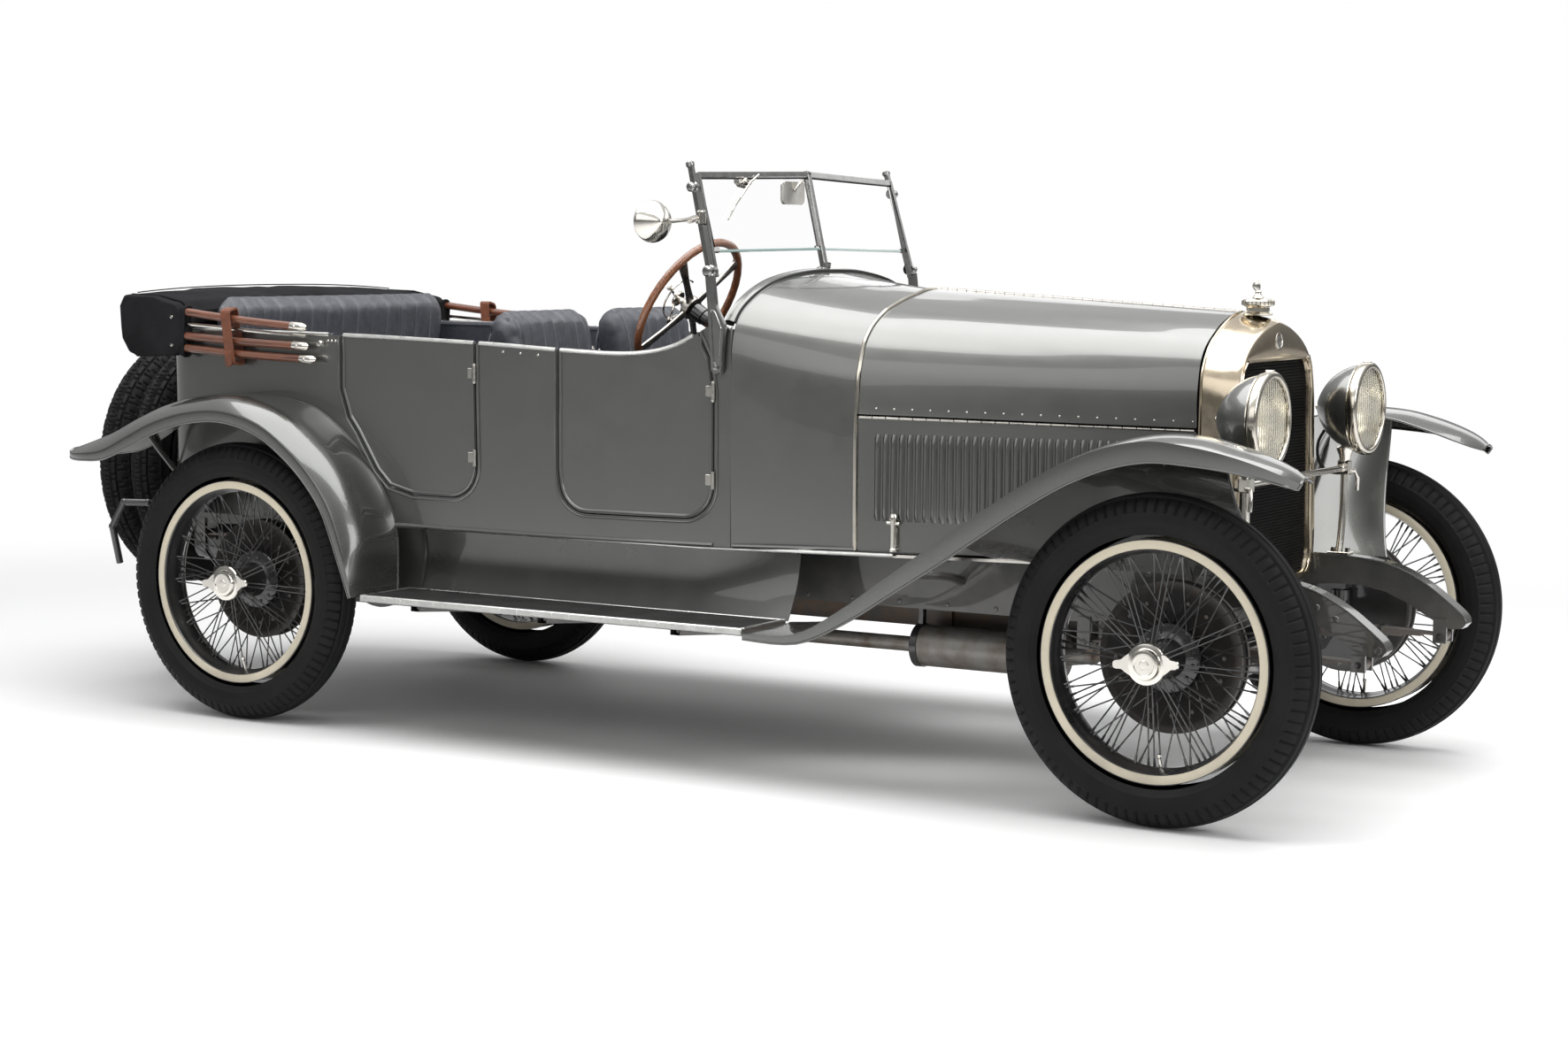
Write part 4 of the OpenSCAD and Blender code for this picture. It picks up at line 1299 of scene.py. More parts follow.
@dataclass
class Bonnet:
    """Hinged bonnet: two top panels and two louvred sides."""

    x0: float = 1937.0
    x1: float = 2827.0
    thick: float = 4.0
    centre_gap: float = 6.5
    knuckle_r: float = 4.0
    louvre_x: float = 1993.0
    louvre_step: float = 21.9
    louvres: int = 34
    louvre_low: float = 676.0
    louvre_high: float = 908.0
    back: tuple = ((0, 1288), (60, 1283), (118, 1272), (180, 1259), (233, 1245), (280, 1231), (315, 1215),
                   (348, 1196),
                   (373, 1176), (400, 1144), (422, 1090), (433, 1030), (441, 955))
    front: tuple = ((0, 1240), (45, 1231), (88, 1218), (127, 1203), (163, 1184), (195, 1165), (219, 1145),
                    (235, 1124),
                    (245, 1100), (253, 1066), (258, 1030), (260, 985), (260, 942))

    def section(self, t: float) -> list[tuple[float, float]]:
        """Half cross-section from the centre line to the hinge at a fraction of the length."""
        return smooth_curve([blend_points(a, b, t) for a, b in zip(self.back, self.front)], 4)

    def side_y(self, x: float) -> float:
        """Half width of the bonnet's flat side at x."""
        return 441 - (x - self.x0) / (self.x1 - self.x0) * 181

    def hinge_z(self, x: float) -> float:
        """Height of the side hinge at x."""
        return 955 - (x - self.x0) / (self.x1 - self.x0) * 13

    def top(self, side: Side) -> None:
        """One top panel with its rivets and hinge strips.

        Args:
            side: Which side of the car.
        """
        name = f"bonnet_top_{side.word}"
        s = side.value
        rows = []
        for k in range(25):
            t = k / 24
            x = self.x0 + (self.x1 - self.x0) * t
            section = self.section(t)
            section[0] = (self.centre_gap, section[0][1])
            section[-1] = (section[-1][0], section[-1][1] + 5)
            rows.append([(x, s * y, z) for y, z in section])
        build(Draft().grid(rows), name + "_skin", PAINT, name, (name,), solid=self.thick, sharp=50)
        rivets, knuckles = Draft(), Draft()
        for k in range(18):
            x = 1985 + 49 * k
            z = self.hinge_z(x) + 21
            out = 0.5
            rivets.turned([(0, 1.6), (2.0, 1.2), (2.9, 0)], (x, s * (self.side_y(x) - 1.5 + out), z),
                          (0.2, s, 0.1), 10)
        build(rivets, name + "_rivets", CHROME, name)
        for k in range(30):
            a = k / 30 + 0.001
            b = a + 0.030
            p, q = (blend_points((self.x0 + 4, 0.0, 1288.5), (self.x1 - 4, 0.0, 1240.5), c) for c in (a, b))
            if (k + (s > 0)) % 2:
                knuckles.tube([p, q], self.knuckle_r, 8)
        build(knuckles, name + "_centre_hinge", DULL_NICKEL, name)

    def louvre(self, x: float, s: int) -> Draft:
        """One pressed louvre, open along its rear edge.

        Args:
            x: Its middle.
            s: 1 on the left side, -1 on the right.

        Returns:
            The louvre's draft.
        """
        rows = []
        wide, deep = 15.0, 7.0
        crest, lip = 0.72, 0.8
        for k in range(13):
            t = k / 12
            z = self.louvre_low + (self.louvre_high - self.louvre_low) * t
            swell = min(1.0, math.sqrt(max(0.0, 1 - (abs(t - 0.5) * 2) ** 16)))
            row = []
            for j in range(8):
                u = j / 7
                px = x + wide * (0.5 - u)
                if u < lip:
                    height = deep * swell * math.sin(math.pi * 0.5 * min(u / crest, 1.0))
                else:
                    height = deep * swell * (1 - (u - lip) / 0.2) ** 0.4
                row.append((px, s * (self.side_y(px) + 0.2 + height), z))
            rows.append(row)
        return Draft().grid(rows)

    def side(self, side: Side) -> None:
        """One side panel with louvres, catch and trim.

        Args:
            side: Which side of the car.
        """
        name = f"bonnet_side_{side.word}"
        s = side.value
        rows = []
        for k in range(31):
            x = self.x0 + (self.x1 - self.x0) * k / 30
            low, high = SILL_Z + 3, self.hinge_z(x) - 5
            rows.append([(x, s * self.side_y(x), low + (high - low) * j / 10) for j in range(11)])
        build(Draft().grid(rows), name + "_skin", PAINT, name, (name,), solid=self.thick, sharp=50)
        louvres, painted_shade_slots, hinge = Draft(), Draft(), Draft()
        for k in range(self.louvres):
            x = self.louvre_x + self.louvre_step * k
            louvres.add(self.louvre(x, s))
            # Dark strip in each louvre's open edge: painted shade standing in for the dark gap behind it.
            y = s * (self.side_y(x - 8.6) + 0.5)
            painted_shade_slots.block((x - 9.4, min(y, y + s * 1.2), self.louvre_low + 8),
                        (x - 6.6, max(y, y + s * 1.2), self.louvre_high - 8), 0.2)
        build(louvres, name + "_louvres", PAINT, name, sharp=70)
        build(painted_shade_slots, name + "_louvre_slots", CORE, name)
        for k in range(24):
            a, b = k / 24 + 0.001, k / 24 + 0.040
            p, q = (blend_points((self.x0 + 3, s * 442.5, 952), (self.x1 - 3, s * 261.5, 939), c)
                    for c in (a, b))
            hinge.tube([p, q], 3.6, 8)
        build(hinge, name + "_hinge", DULL_NICKEL, name)
        catch = Draft()
        y = s * (self.side_y(2041) + 10)
        catch.tube([(2041, y, 600), (2041, y, 682)], 8.5, 16)
        catch.turned([(0, 16), (9, 14), (13, 6), (13, 0), (9, -3), (9, -12)], (2041, y, 684), (0, 0, 1), 20)
        catch.tube([(2022, y, 672), (2060, y, 672)], 5, 12)
        catch.turned([(12, 0), (12, 6), (9, 9), (9, 20)], (2041, y, 597), (0, 0, 1), 20)
        catch.block((2030, min(y, y - s * 9), 612), (2052, max(y, y - s * 9), 660), 2)
        build(catch, name + "_catch", CHROME, name)

    def make(self) -> None:
        """Builds all four panels and the ledge under them."""
        for side in Side:
            self.top(side)
            self.side(side)
        rod = Draft().tube([(self.x0 - 3, 0, 1288.2), (self.x1 + 3, 0, 1239.8)], 2.4, 12)
        build(rod, "bonnet_hinge_rod", DULL_NICKEL, replaces=("bonnet_rod",))
        ledge = Draft()
        for s in (1, -1):
            ledge.grid([[(x, s * (self.side_y(x) + dy), z) for dy,
                         z in ((-30, 580), (6, 580), (6, 588), (-30, 588))]
                        for x in (1934, 2150, 2400, 2640, 2830)], wrap_v=True)
        build(ledge, "bonnet_ledge", CHROME)


# ---------------------------------------------------------------- front of the car


@dataclass
class Radiator:
    """Plated shell, honeycomb core and filler cap."""

    back_x: float = 2838.0
    depth: float = 106.0
    front: tuple = ((0, 1217), (70, 1203), (120, 1187), (165, 1168), (205, 1143), (235, 1112), (253, 1080),
                    (264, 1040),
                    (270, 1000), (281, 837), (291, 700), (293, 620), (286, 572), (262, 536), (215, 520))
    rear: tuple = ((0, 1240), (50, 1230), (95, 1216), (135, 1199), (170, 1180), (205, 1155), (228, 1128),
                   (245, 1098),
                   (257, 1050), (262, 837), (268, 700), (270, 620), (264, 572), (240, 540), (200, 524))
    grille_z: float = 827.0
    grille: tuple = ((-262, 538, 46), (262, 538, 46), (246, 1040, 240), (232, 1117, 52), (-232, 1117, 52),
                     (-246, 1040, 240))

    def ring(self, points: Sequence[Sequence[float]], x: float, scale: float) -> list[Point]:
        """Closed ring around the shell.

        Args:
            points: Half outline from the top to the foot.
            x: Place along the car.
            scale: Size about the middle height.

        Returns:
            The ring's points.
        """
        half = even_curve([(y * scale, (z - 880) * scale + 880) for y, z in points], 48)
        return [(x, y, z) for y, z in half] + [(x, -y, z) for y, z in reversed(half[1:])]

    def opening(self, scale: float, x: float) -> list[Point]:
        """Ring around the grille opening.

        Args:
            scale: Size beside the drawn opening.
            x: Its place along the car.

        Returns:
            The ring's points.
        """
        mid = self.grille_z
        flat = rounded([(y * scale, (z - mid) * scale + mid, r) for y, z, r in self.grille], 10)
        points = [Vector(p) for p in flat]
        start = max(range(len(points)), key=lambda i: (round(points[i].y), -abs(points[i].x)))
        dense = even_curve([points[(start + k) % len(points)] for k in range(len(points))], 95, closed=True)
        return [(x, y, z) for y, z in dense]

    def shell(self) -> None:
        """Plated shell with its rolled opening edge, badge and rivets."""
        f, r, x = self.front, self.rear, self.back_x
        outer = [self.ring(r, x, 1.0),
                 self.ring([blend_points(a, b, 0.5) for a, b in zip(r, f)], x + 53, 1.002)]
        for t, dx, k in ((0.9, 94, 1.002), (0.95, 100, 0.998), (0.98, 104, 0.993), (1.0, 106, 0.985)):
            outer.append(self.ring([blend_points(a, b, t) for a, b in zip(r, f)], x + dx, k))
        skin = Draft()
        skin.grid(outer, wrap_v=True)
        front = outer[-1]
        angle = [math.atan2(p[2] - self.grille_z, p[1]) for p in front]
        hole = Draft()
        rows = [front]
        for k, dx in ((1.035, 106.5), (1.0, 105), (0.985, 98), (0.985, 30)):
            ring = self.opening(k, x + dx)
            ang = np.array([math.atan2(p[2] - self.grille_z, p[1]) for p in ring])
            order = np.argsort(ang)
            ys = np.interp(angle, ang[order], np.array([p[1] for p in ring])[order], period=2 * math.pi)
            zs = np.interp(angle, ang[order], np.array([p[2] for p in ring])[order], period=2 * math.pi)
            rows.append([(x + dx, float(a), float(b)) for a, b in zip(ys, zs)])
        hole.grid(rows, wrap_v=True)
        skin.add(hole)
        build(skin, "radiator_shell_skin", NICKEL, replaces=("radiator_shell",), sharp=45)
        lip = Draft().tube(self.opening(1.0, x + 104), 4.5, 8, closed=True)
        build(lip, "radiator_opening_bead", NICKEL)
        rear = Draft().tube([(x - 1, p[1], p[2]) for p in outer[0]], 4.0, 8, closed=True)
        build(rear, "radiator_rear_bead", NICKEL)
        badge = Draft().turned([(0, 4), (17, 4), (19, 6), (22, 6), (24, 4), (25, 0)], (x + 103, 0, 1166),
                               (1, 0, 0.12), 40)
        badge.turned([(0, 6.5), (8, 5.5), (14, 4)], (x + 103, 0, 1166), (1, 0, 0.12), 8)
        build(badge, "radiator_blank_badge", DULL_NICKEL)

    def core(self) -> None:
        """Honeycomb core: a dark block with crossing cells in front."""
        x = self.back_x + 90
        back = [(y, z) for _, y, z in self.opening(0.985, 0)]
        block = Draft().slab(back, x - 40, x - 8, lambda u, v, w: (w, u, v))
        build(block, "radiator_core_block", CORE, replaces=("radiator_core",))
        cells = Draft()
        pitch, step = 11.0, 8.0
        z = 546.0
        row = 0
        while z < 1108:
            half = 246 + (1046 - z) / 498 * 14 if z < 1060 else 240 - max(0.0, z - 1070) * 0.5
            n = int(half * 2 / pitch)
            line = []
            for k in range(n * 2 + 1):
                y = -half + half * 2 * k / (n * 2)
                line.append((y, z + (step * 0.34 if (k + row) % 2 else -step * 0.34)))
            cells.grid([[(x + dx, y, zz + dz) for dx,
                         dz in ((-10, -1.0), (2, -0.8), (2, 0.8), (-10, 1.0))] for y, zz in line])
            z += step
            row += 1
        build(cells, "radiator_core_cells", CORE, sharp=20)

    def cap(self) -> None:
        """Turned filler cap with a plain leaf-shaped ornament."""
        at = (self.back_x + 46, 0, 1229)
        cap = Draft().turned([(30, 1), (37, 2), (38, 6), (34, 10), (30, 12), (30, 22), (33, 24), (40, 27),
                              (42, 31), (42, 38),
                              (39, 42), (30, 44), (20, 46), (14, 50), (8, 56), (7, 60), (10, 63), (6, 66),
                              (0, 66)], at, (0, 0, 1), 48)
        for k in range(24):
            a = math.tau * k / 24
            c = Vector((at[0] + math.cos(a) * 41.6, math.sin(a) * 41.6, 0))
            cap.tube([(c.x, c.y, at[2] + 29), (c.x, c.y, at[2] + 40)], 1.8, 6)
        build(cap, "radiator_filler_cap", LAMP_NICKEL, replaces=("radiator_cap",))
        leaf = Draft()
        rows = []
        for k in range(11):
            t = k / 10
            wide = 11 * math.sin(math.pi * min(t * 0.94 + 0.06, 1)) ** 0.8 + 1.0
            lean = -6 * math.sin(math.pi * t)
            z = at[2] + 62 + 34 * t
            rows.append([(at[0] + lean + wide * math.cos(a), wide * 0.36 * math.sin(a), z)
                         for a in (math.tau * j / 12 for j in range(12))])
        leaf.grid(rows, wrap_v=True).fan(rows[-1]).fan(rows[0])
        build(leaf, "radiator_cap_ornament", CHROME, subdivide=1)

    def make(self) -> None:
        """Builds the shell, core and cap."""
        self.shell()
        self.core()
        self.cap()


@dataclass
class Headlamps:
    """Two bowl lamps on stanchions with a cross bar."""

    rim_x: float = 3074.0
    half: float = 352.0
    z: float = 977.0
    radius: float = 125.0
    post_x: float = 3003.0

    def lamp(self, s: int) -> None:
        """One lamp.

        Args:
            s: 1 on the left, -1 on the right.
        """
        at = (self.rim_x, s * self.half, self.z)
        r = self.radius
        word = "left" if s > 0 else "right"
        bowl = [(r - 7, -20), (r - 8, -34), (r - 13, -56), (r - 23, -78), (r - 36, -98), (r - 54, -117),
                (r - 76, -133),
                (28, -144), (12, -149), (0, -150)]
        shell = Draft().turned(smooth_curve(bowl, 4), at, (1, 0, 0), 56)
        build(shell, f"headlamp_bowl_{word}", PAINT, replaces=("headlamps",) if s > 0 else ())
        rim = [(r - 17, -3), (r - 15, 0), (r - 8, 0), (r - 2, -3), (r, -8), (r, -20), (r - 3, -25),
               (r - 7, -26), (r - 8, -22),
               (r - 8, -12), (r - 17, -8)]
        trim = Draft().turned(smooth_curve(rim, 3, True), at, (1, 0, 0), 64, closed=True)
        trim.turned([(r - 7, -27), (r - 4, -28), (r - 4, -31), (r - 8, -32)], at, (1, 0, 0), 64)
        trim.turned([(0, -150), (7, -150), (8, -154), (5, -157), (0, -158)], at, (1, 0, 0), 20)
        trim.block((at[0] - 24, at[1] - 9, at[2] + r - 6), (at[0] - 4, at[1] + 9, at[2] + r + 3), 2)
        build(trim, f"headlamp_rim_{word}", LAMP_NICKEL)
        mirror = [(r - 15, -14), (r - 18, -40), (r - 30, -70), (r - 55, -98), (r - 85, -112), (14, -118),
                  (0, -119)]
        build(Draft().turned(smooth_curve(mirror, 4), at, (1, 0, 0), 48), f"headlamp_reflector_{word}",
              SILVER)
        bulb = Draft().turned([(9, -116), (9, -86), (6, -82), (14, -70), (17, -58), (14, -46), (6, -40),
                               (0, -39)], at, (1, 0, 0), 24)
        build(bulb, f"headlamp_bulb_{word}", LENS)
        lens = Draft()
        rows = []
        for k in range(65):
            y = -1 + 2 * k / 64
            reach = math.sqrt(max(0.0, 1 - y * y)) * (r - 15)
            flute = 1.1 * math.cos(k * math.pi * 0.5)
            rows.append([(at[0] - 8 + 5 * (1 - y * y) * (1 - v * v) + flute, at[1] + y * (r - 15),
                          at[2] + reach * v)
                         for v in (-1 + 2 * j / 12 for j in range(13))])
        lens.grid(rows)
        build(lens, f"headlamp_lens_{word}", LENS, solid=2.5, sharp=60)
        fork = Draft()
        fork.tube(smooth_curve([(self.post_x, s * 322, 585), (self.post_x, s * 336, 640),
                                (self.post_x, s * 348, 720), (self.post_x, s * 350, 850)], 5), 10, 16)
        fork.block((self.post_x - 26, s * 322 - 22, 584), (self.post_x + 34, s * 322 + 22, 590), 1.5)
        for dx in (-16, 24):
            fork.turned([(0, 12), (7, 11), (8, 5), (8, 0)], (self.post_x + dx, s * 322, 590), (0, 0, 1), 6)
        fork.turned([(10, -30), (14, -28), (16, -10), (22, 4), (24, 12), (16, 16), (0, 18)],
                    (self.post_x, s * 351, 858), (0, 0, 1), 28)
        fork.tube([(self.post_x - 8, s * 351, 806), (self.post_x + 22, s * 372, 806),
                   (self.post_x + 26, s * 384, 786), (self.post_x + 24, s * 384, 752)], 6, 10)
        fork.block((self.post_x - 18, s * 350 - 13, 796), (self.post_x + 18, s * 350 + 13, 836), 4)
        build(fork, f"headlamp_stanchion_{word}", CHROME)
        cable = smooth_curve([(self.rim_x - 128, s * 350, 918), (self.rim_x - 146, s * 346, 880),
                              (self.rim_x - 142, s * 340, 836),
                              (self.rim_x - 118, s * 338, 806), (self.rim_x - 84, s * 343, 800)], 8)
        build(Draft().tube(cable, 4.5, 8), f"headlamp_cable_{word}", MAT)

    def make(self) -> None:
        """Builds both lamps and the bar between them."""
        for s in (1, -1):
            self.lamp(s)
        bar = Draft().tube([(self.post_x, -340, 815), (self.post_x, 340, 815)], 9, 16)
        for s in (1, -1):
            bar.turned([(9, 0), (13, 2), (13, 12), (9, 14)], (self.post_x, s * 322, 815), (0, s, 0), 6)
        build(bar, "headlamp_cross_bar", CHROME)


@dataclass
class Windscreen:
    """Two-pane V windscreen with its posts, wiper and mirror."""

    glass_thick: float = 5.0

    def post(self, s: int) -> Draft:
        """One post with its bracket and knobs.

        Args:
            s: 1 on the left, -1 on the right.

        Returns:
            The post's draft.
        """
        d = Draft()
        outline = rounded([(1543, 1235, 8), (1555, 1062, 13), (1586, 1056, 14), (1590, 1130, 60),
                           (1597, 1190, 24), (1568, 1244, 30),
                           (1558, 1330, 8), (1534, 1330, 8)], 6)
        d.slab(outline, 556, 572, lambda u, v, w: (u, s * w, v), 3)
        rim = rounded([(1553, 1230, 8), (1563, 1088, 8), (1579, 1086, 8), (1582, 1132, 50),
                       (1586, 1184, 16), (1564, 1232, 14)], 6)
        d.tube([(x, s * 572.5, z) for x, z in rim], 2.4, 6, closed=True)
        d.turned([(0, 9), (7, 7), (9, 2), (9, 0)], (1571, s * 572, 1078), (0, s, 0), 6)
        for a, b, w in (((1545, 556, 1310), (1468, 541, 1619), 9.5),
                        ((1556, 548, 1320), (1484, 530, 1598), 7.5)):
            d.tube([(a[0], s * a[1], a[2]), (b[0], s * b[1], b[2])], w, 4)
        for x, y, z, r in ((1482, 541, 1560, 13), (1543, 552, 1335, 15)):
            d.turned([(7, 0), (7, 10), (r * 0.8, 12), (r, 17), (r, 23), (r * 0.7, 28), (0, 30)],
                     (x, s * y, z), (0, s, 0), 24)
            d.turned([(r + 2, -8), (r + 2, 6), (r - 2, 9), (0, 9)], (x, s * y, z), (0, s, 0), 24)
        d.turned([(9, 0), (12, 3), (12, 12), (8, 15), (0, 16)], (1468, s * 541, 1614), (-0.25, 0, 1), 16)
        return d

    def bar(self, a: Point, b: Point, wide: float, deep: float) -> Draft:
        """Flat-sided bar between two points.

        Args:
            a: One end.
            b: Other end.
            wide: Size across the pane's plane.
            deep: Size along the pane's plane.

        Returns:
            The bar's draft.
        """
        p, q = Vector(a), Vector(b)
        t = (q - p).normalized()
        n = Vector((0.97, 0, 0.24))
        n = (n - t * n.dot(t)).normalized()
        m = t.cross(n)
        c = 0.25
        corners = [(-1, -1 + c), (-1 + c, -1), (1 - c, -1), (1, -1 + c), (1, 1 - c), (1 - c, 1),
                   (-1 + c, 1), (-1, 1 - c)]
        rows = [[tuple(e + n * u * wide / 2 + m * v * deep / 2) for u, v in corners] for e in (p, q)]
        return Draft().grid(rows, wrap_v=True).fan(rows[0]).fan(rows[1])

    def make(self) -> None:
        """Builds the posts, frames, panes, wiper and inner mirror."""
        frame, glass, seal = Draft(), Draft(), Draft()
        for s in (1, -1):
            frame.add(self.post(s))
            frame.add(self.bar((1482, s * 524, 1592), (1511, 0, 1605), 15, 17))
            seal.add(self.bar((1485, s * 520, 1583), (1513, s * 6, 1596), 8, 4))
            top_in, top_out = (1516, s * 7, 1592), (1488, s * 520, 1581)
            low_in, low_out = (1561, s * 7, 1396), (1535, s * 518, 1389)
            pane = [[blend_points(blend_points(top_in, top_out, u), blend_points(low_in, low_out, u), v)
                     for v in (0, 0.25, 0.5, 0.75, 1)]
                    for u in (k / 8 for k in range(9))]
            glass.grid(pane)
            frame.tube([(1556, s * 14, 1398), (1550, s * 22, 1398)], 7, 10)
            frame.add(self.bar((1540, s * 512, 1391), (1531, s * 526, 1391), 15, 13))
        edges = Draft()
        for s in (1, -1):
            edges.add(self.bar((1533.5, s * 510, 1388.5), (1559, s * 10, 1395.5), 6, 7))
        build(edges, "windscreen_pane_edges", PANE_EDGE)
        frame.add(self.bar((1511, 0, 1606), (1572, 0, 1336), 18, 20))
        frame.add(self.bar((1506, -7, 1598), (1552, -7, 1398), 8, 8))
        frame.turned([(8, 0), (14, 3), (16, 12), (10, 17), (0, 19)], (1508, 0, 1598), (-0.2, 0, 1), 20)
        frame.turned([(15, -14), (15, 0), (22, 4), (26, 10)], (1573, 0, 1344), (-0.2, 0, -1), 20)
        build(frame, "windscreen_posts_and_frames", SCREEN_STEEL, replaces=("windscreen_frame",), sharp=30)
        build(seal, "windscreen_rubber", MAT)
        build(glass, "windscreen_panes", PANE, replaces=("windscreen_glass",), solid=self.glass_thick,
              sharp=40)
        wiper = Draft()
        wiper.turned([(0, 20), (12, 19), (18, 12), (18, -6), (12, -12), (0, -13)], (1488, -309, 1579),
                     (-1, 0, 0.2), 24)
        wiper.block((1474, -340, 1570), (1500, -278, 1590), 5)
        wiper.tube([(1512, -309, 1578), (1484, -309, 1578)], 4, 8)
        wiper.tube([(1512, -262, 1600), (1514, -309, 1578), (1524, -420, 1498)], [2.6, 3.2, 2.0], 8)
        wiper.tube([(1519, -372, 1536), (1528, -446, 1474)], 2.4, 6)
        build(wiper, "windscreen_wiper", CHROME)
        inner = Draft()
        inner.slab(rounded([(-62, -36, 14), (62, -36, 14), (62, 30, 14), (-62, 30, 14)], 6), 0, 9,
                   lambda u, v, w: (1484 - w, -30 + u, 1556 + v), 3)
        inner.tube([(1484, -30, 1560), (1500, -14, 1588), (1508, 0, 1596)], 4.5, 10)
        build(inner, "windscreen_inner_mirror", DULL_NICKEL)
        self.door_mirror()

    def door_mirror(self) -> None:
        """Round mirror on an arm from the right-hand post."""
        shell = Draft().turned(smooth_curve([(0, -42), (8, -40), (26, -28), (42, -12), (52, 0), (56, 8),
                                             (55, 12), (50, 13)], 4),
                               (1478, -732, 1466), (-0.88, 0.47, 0), 48)
        shell.tube([(1515, -722, 1466), (1508, -700, 1467), (1503, -640, 1470), (1502, -560, 1476)],
                   [7, 6, 5, 6], 12)
        shell.tube([(1505, -604, 1470), (1501, -566, 1476)], 9, 12)
        shell.turned([(13, -16), (13, 16), (8, 20), (0, 21)], (1506, -549, 1478), (0, 0, 1), 20)
        build(shell, "door_mirror_shell", CHROME, replaces=("door_mirror",))
        face = Draft().turned([(0, 10), (50, 10)], (1478, -732, 1466), (-0.88, 0.47, 0), 48)
        build(face, "door_mirror_face", SILVER)


# ---------------------------------------------------------------- wings and boards


@dataclass
class Wing:
    """A long sheet-metal wing with a wired outer edge.

    Each station is: outer edge x and z, crown x and z, inner edge x and z, depth of the lip,
    outer y, inner y.
    """

    name: str
    node: str
    stations: tuple
    downwards: int
    thick: float = 4.0

    def row(self, s: Sequence[float], along: Vector) -> list[Point]:
        """Cross-section at a station.

        Args:
            s: The station.
            along: Direction of the wing's run in x and z.

        Returns:
            Points from the lip's foot to the inner edge.
        """
        n = Vector((along.y, -along.x)) * self.downwards
        o, c, e = Vector(s[0:2]), Vector(s[2:4]), Vector(s[4:6])
        out = []
        for k in range(6):
            w = 1 - k / 6
            q = o + n * s[6] * w
            out.append((q.x, s[7] - 3 * w * w, q.y))
        for k in range(19):
            v = k / 18
            v = v**1.35
            a = (1 - v * 2) ** 2.6 if v < 0.5 else 0.0
            b = ((v - 0.5) * 2) ** 2 if v > 0.5 else 0.0
            q = c + (o - c) * a + (e - c) * b
            out.append((q.x, s[7] - 3 * v + (s[8] - s[7]) * v, q.y))
        return out

    def rows(self) -> Rows:
        """All cross-sections of the left wing."""
        dense = smooth_curve(self.stations, 5)
        out = []
        for i, s in enumerate(dense):
            a, b = dense[max(i - 1, 0)], dense[min(i + 1, len(dense) - 1)]
            out.append(self.row(s, Vector((b[0] - a[0], b[1] - a[1])).normalized()))
        return out

    def make(self) -> Rows:
        """Builds the pair of wings.

        Returns:
            The left wing's cross-sections.
        """
        rows = self.rows()
        skin = Draft().grid(rows)
        # The wings and their wired edges take the darkened body paint, painted shade.
        build(Draft().add(skin).add(skin, mirrored), self.name + "_skins", SHADED_WING_PAINT,
              replaces=(self.node,), solid=self.thick, sharp=50)
        edge = [r[0] for r in rows] + [r for r in rows[-1][1:]]
        inner = [r[-1] for r in rows]
        wire = Draft().tube([(x, y - 2, z) for x, y, z in edge], 4.0, 8)
        wire.tube([(x, y + 1, z - 2) for x, y, z in inner], 3.2, 6)
        build(Draft().add(wire).add(wire, mirrored), self.name + "_wired_edges", SHADED_WING_PAINT)
        return rows


FRONT_WING = Wing("front_wing", "front_wings", (
    (1798, 400, 1798, 402, 1798, 404, 14, 800, 560), (1955, 411, 1955, 416, 1955, 424, 24, 800, 566),
    (2087, 480, 2087, 487, 2087, 492, 34, 800, 575), (2214, 568, 2214, 576, 2214, 580, 42, 800, 582),
    (2340, 654, 2340, 663, 2340, 668, 48, 800, 588), (2463, 738, 2463, 748, 2463, 752, 50, 800, 592),
    (2583, 815, 2583, 827, 2583, 832, 50, 800, 594), (2701, 881, 2705, 894, 2705, 896, 50, 800, 596),
    (2818, 927, 2822, 939, 2822, 938, 50, 800, 597), (2932, 948, 2934, 961, 2934, 951, 50, 800, 598),
    (3046, 938, 3046, 957, 3046, 938, 44, 800, 600), (3140, 920, 3140, 935, 3140, 912, 36, 797, 604),
    (3215, 896, 3215, 910, 3215, 886, 28, 780, 614), (3262, 875, 3262, 888, 3262, 868, 22, 756, 634),
    (3290, 858, 3290, 868, 3290, 858, 16, 726, 660)), 1)
REAR_WING = Wing("rear_wing", "rear_wings", (
    (488, 402, 496, 402, 504, 404, 10, 798, 608), (474, 470, 492, 482, 506, 500, 20, 799, 607),
    (452, 540, 482, 575, 497, 600, 24, 800, 606), (408, 652, 438, 685, 459, 692, 28, 800, 606),
    (345, 738, 376, 775, 399, 772, 30, 800, 606), (262, 812, 285, 850, 299, 864, 30, 800, 606),
    (150, 880, 165, 922, 178, 932, 30, 800, 606), (12, 914, 12, 961, 12, 957, 30, 800, 606),
    (-130, 906, -130, 954, -130, 947, 30, 800, 606), (-260, 872, -260, 926, -260, 896, 30, 800, 606),
    (-370, 824, -370, 884, -370, 830, 28, 800, 612), (-470, 780, -470, 838, -470, 780, 24, 800, 612),
    (-560, 768, -560, 806, -560, 762, 20, 792, 616), (-625, 764, -625, 786, -625, 762, 16, 768, 640),
    (-655, 768, -655, 776, -655, 768, 12, 740, 676)), -1)


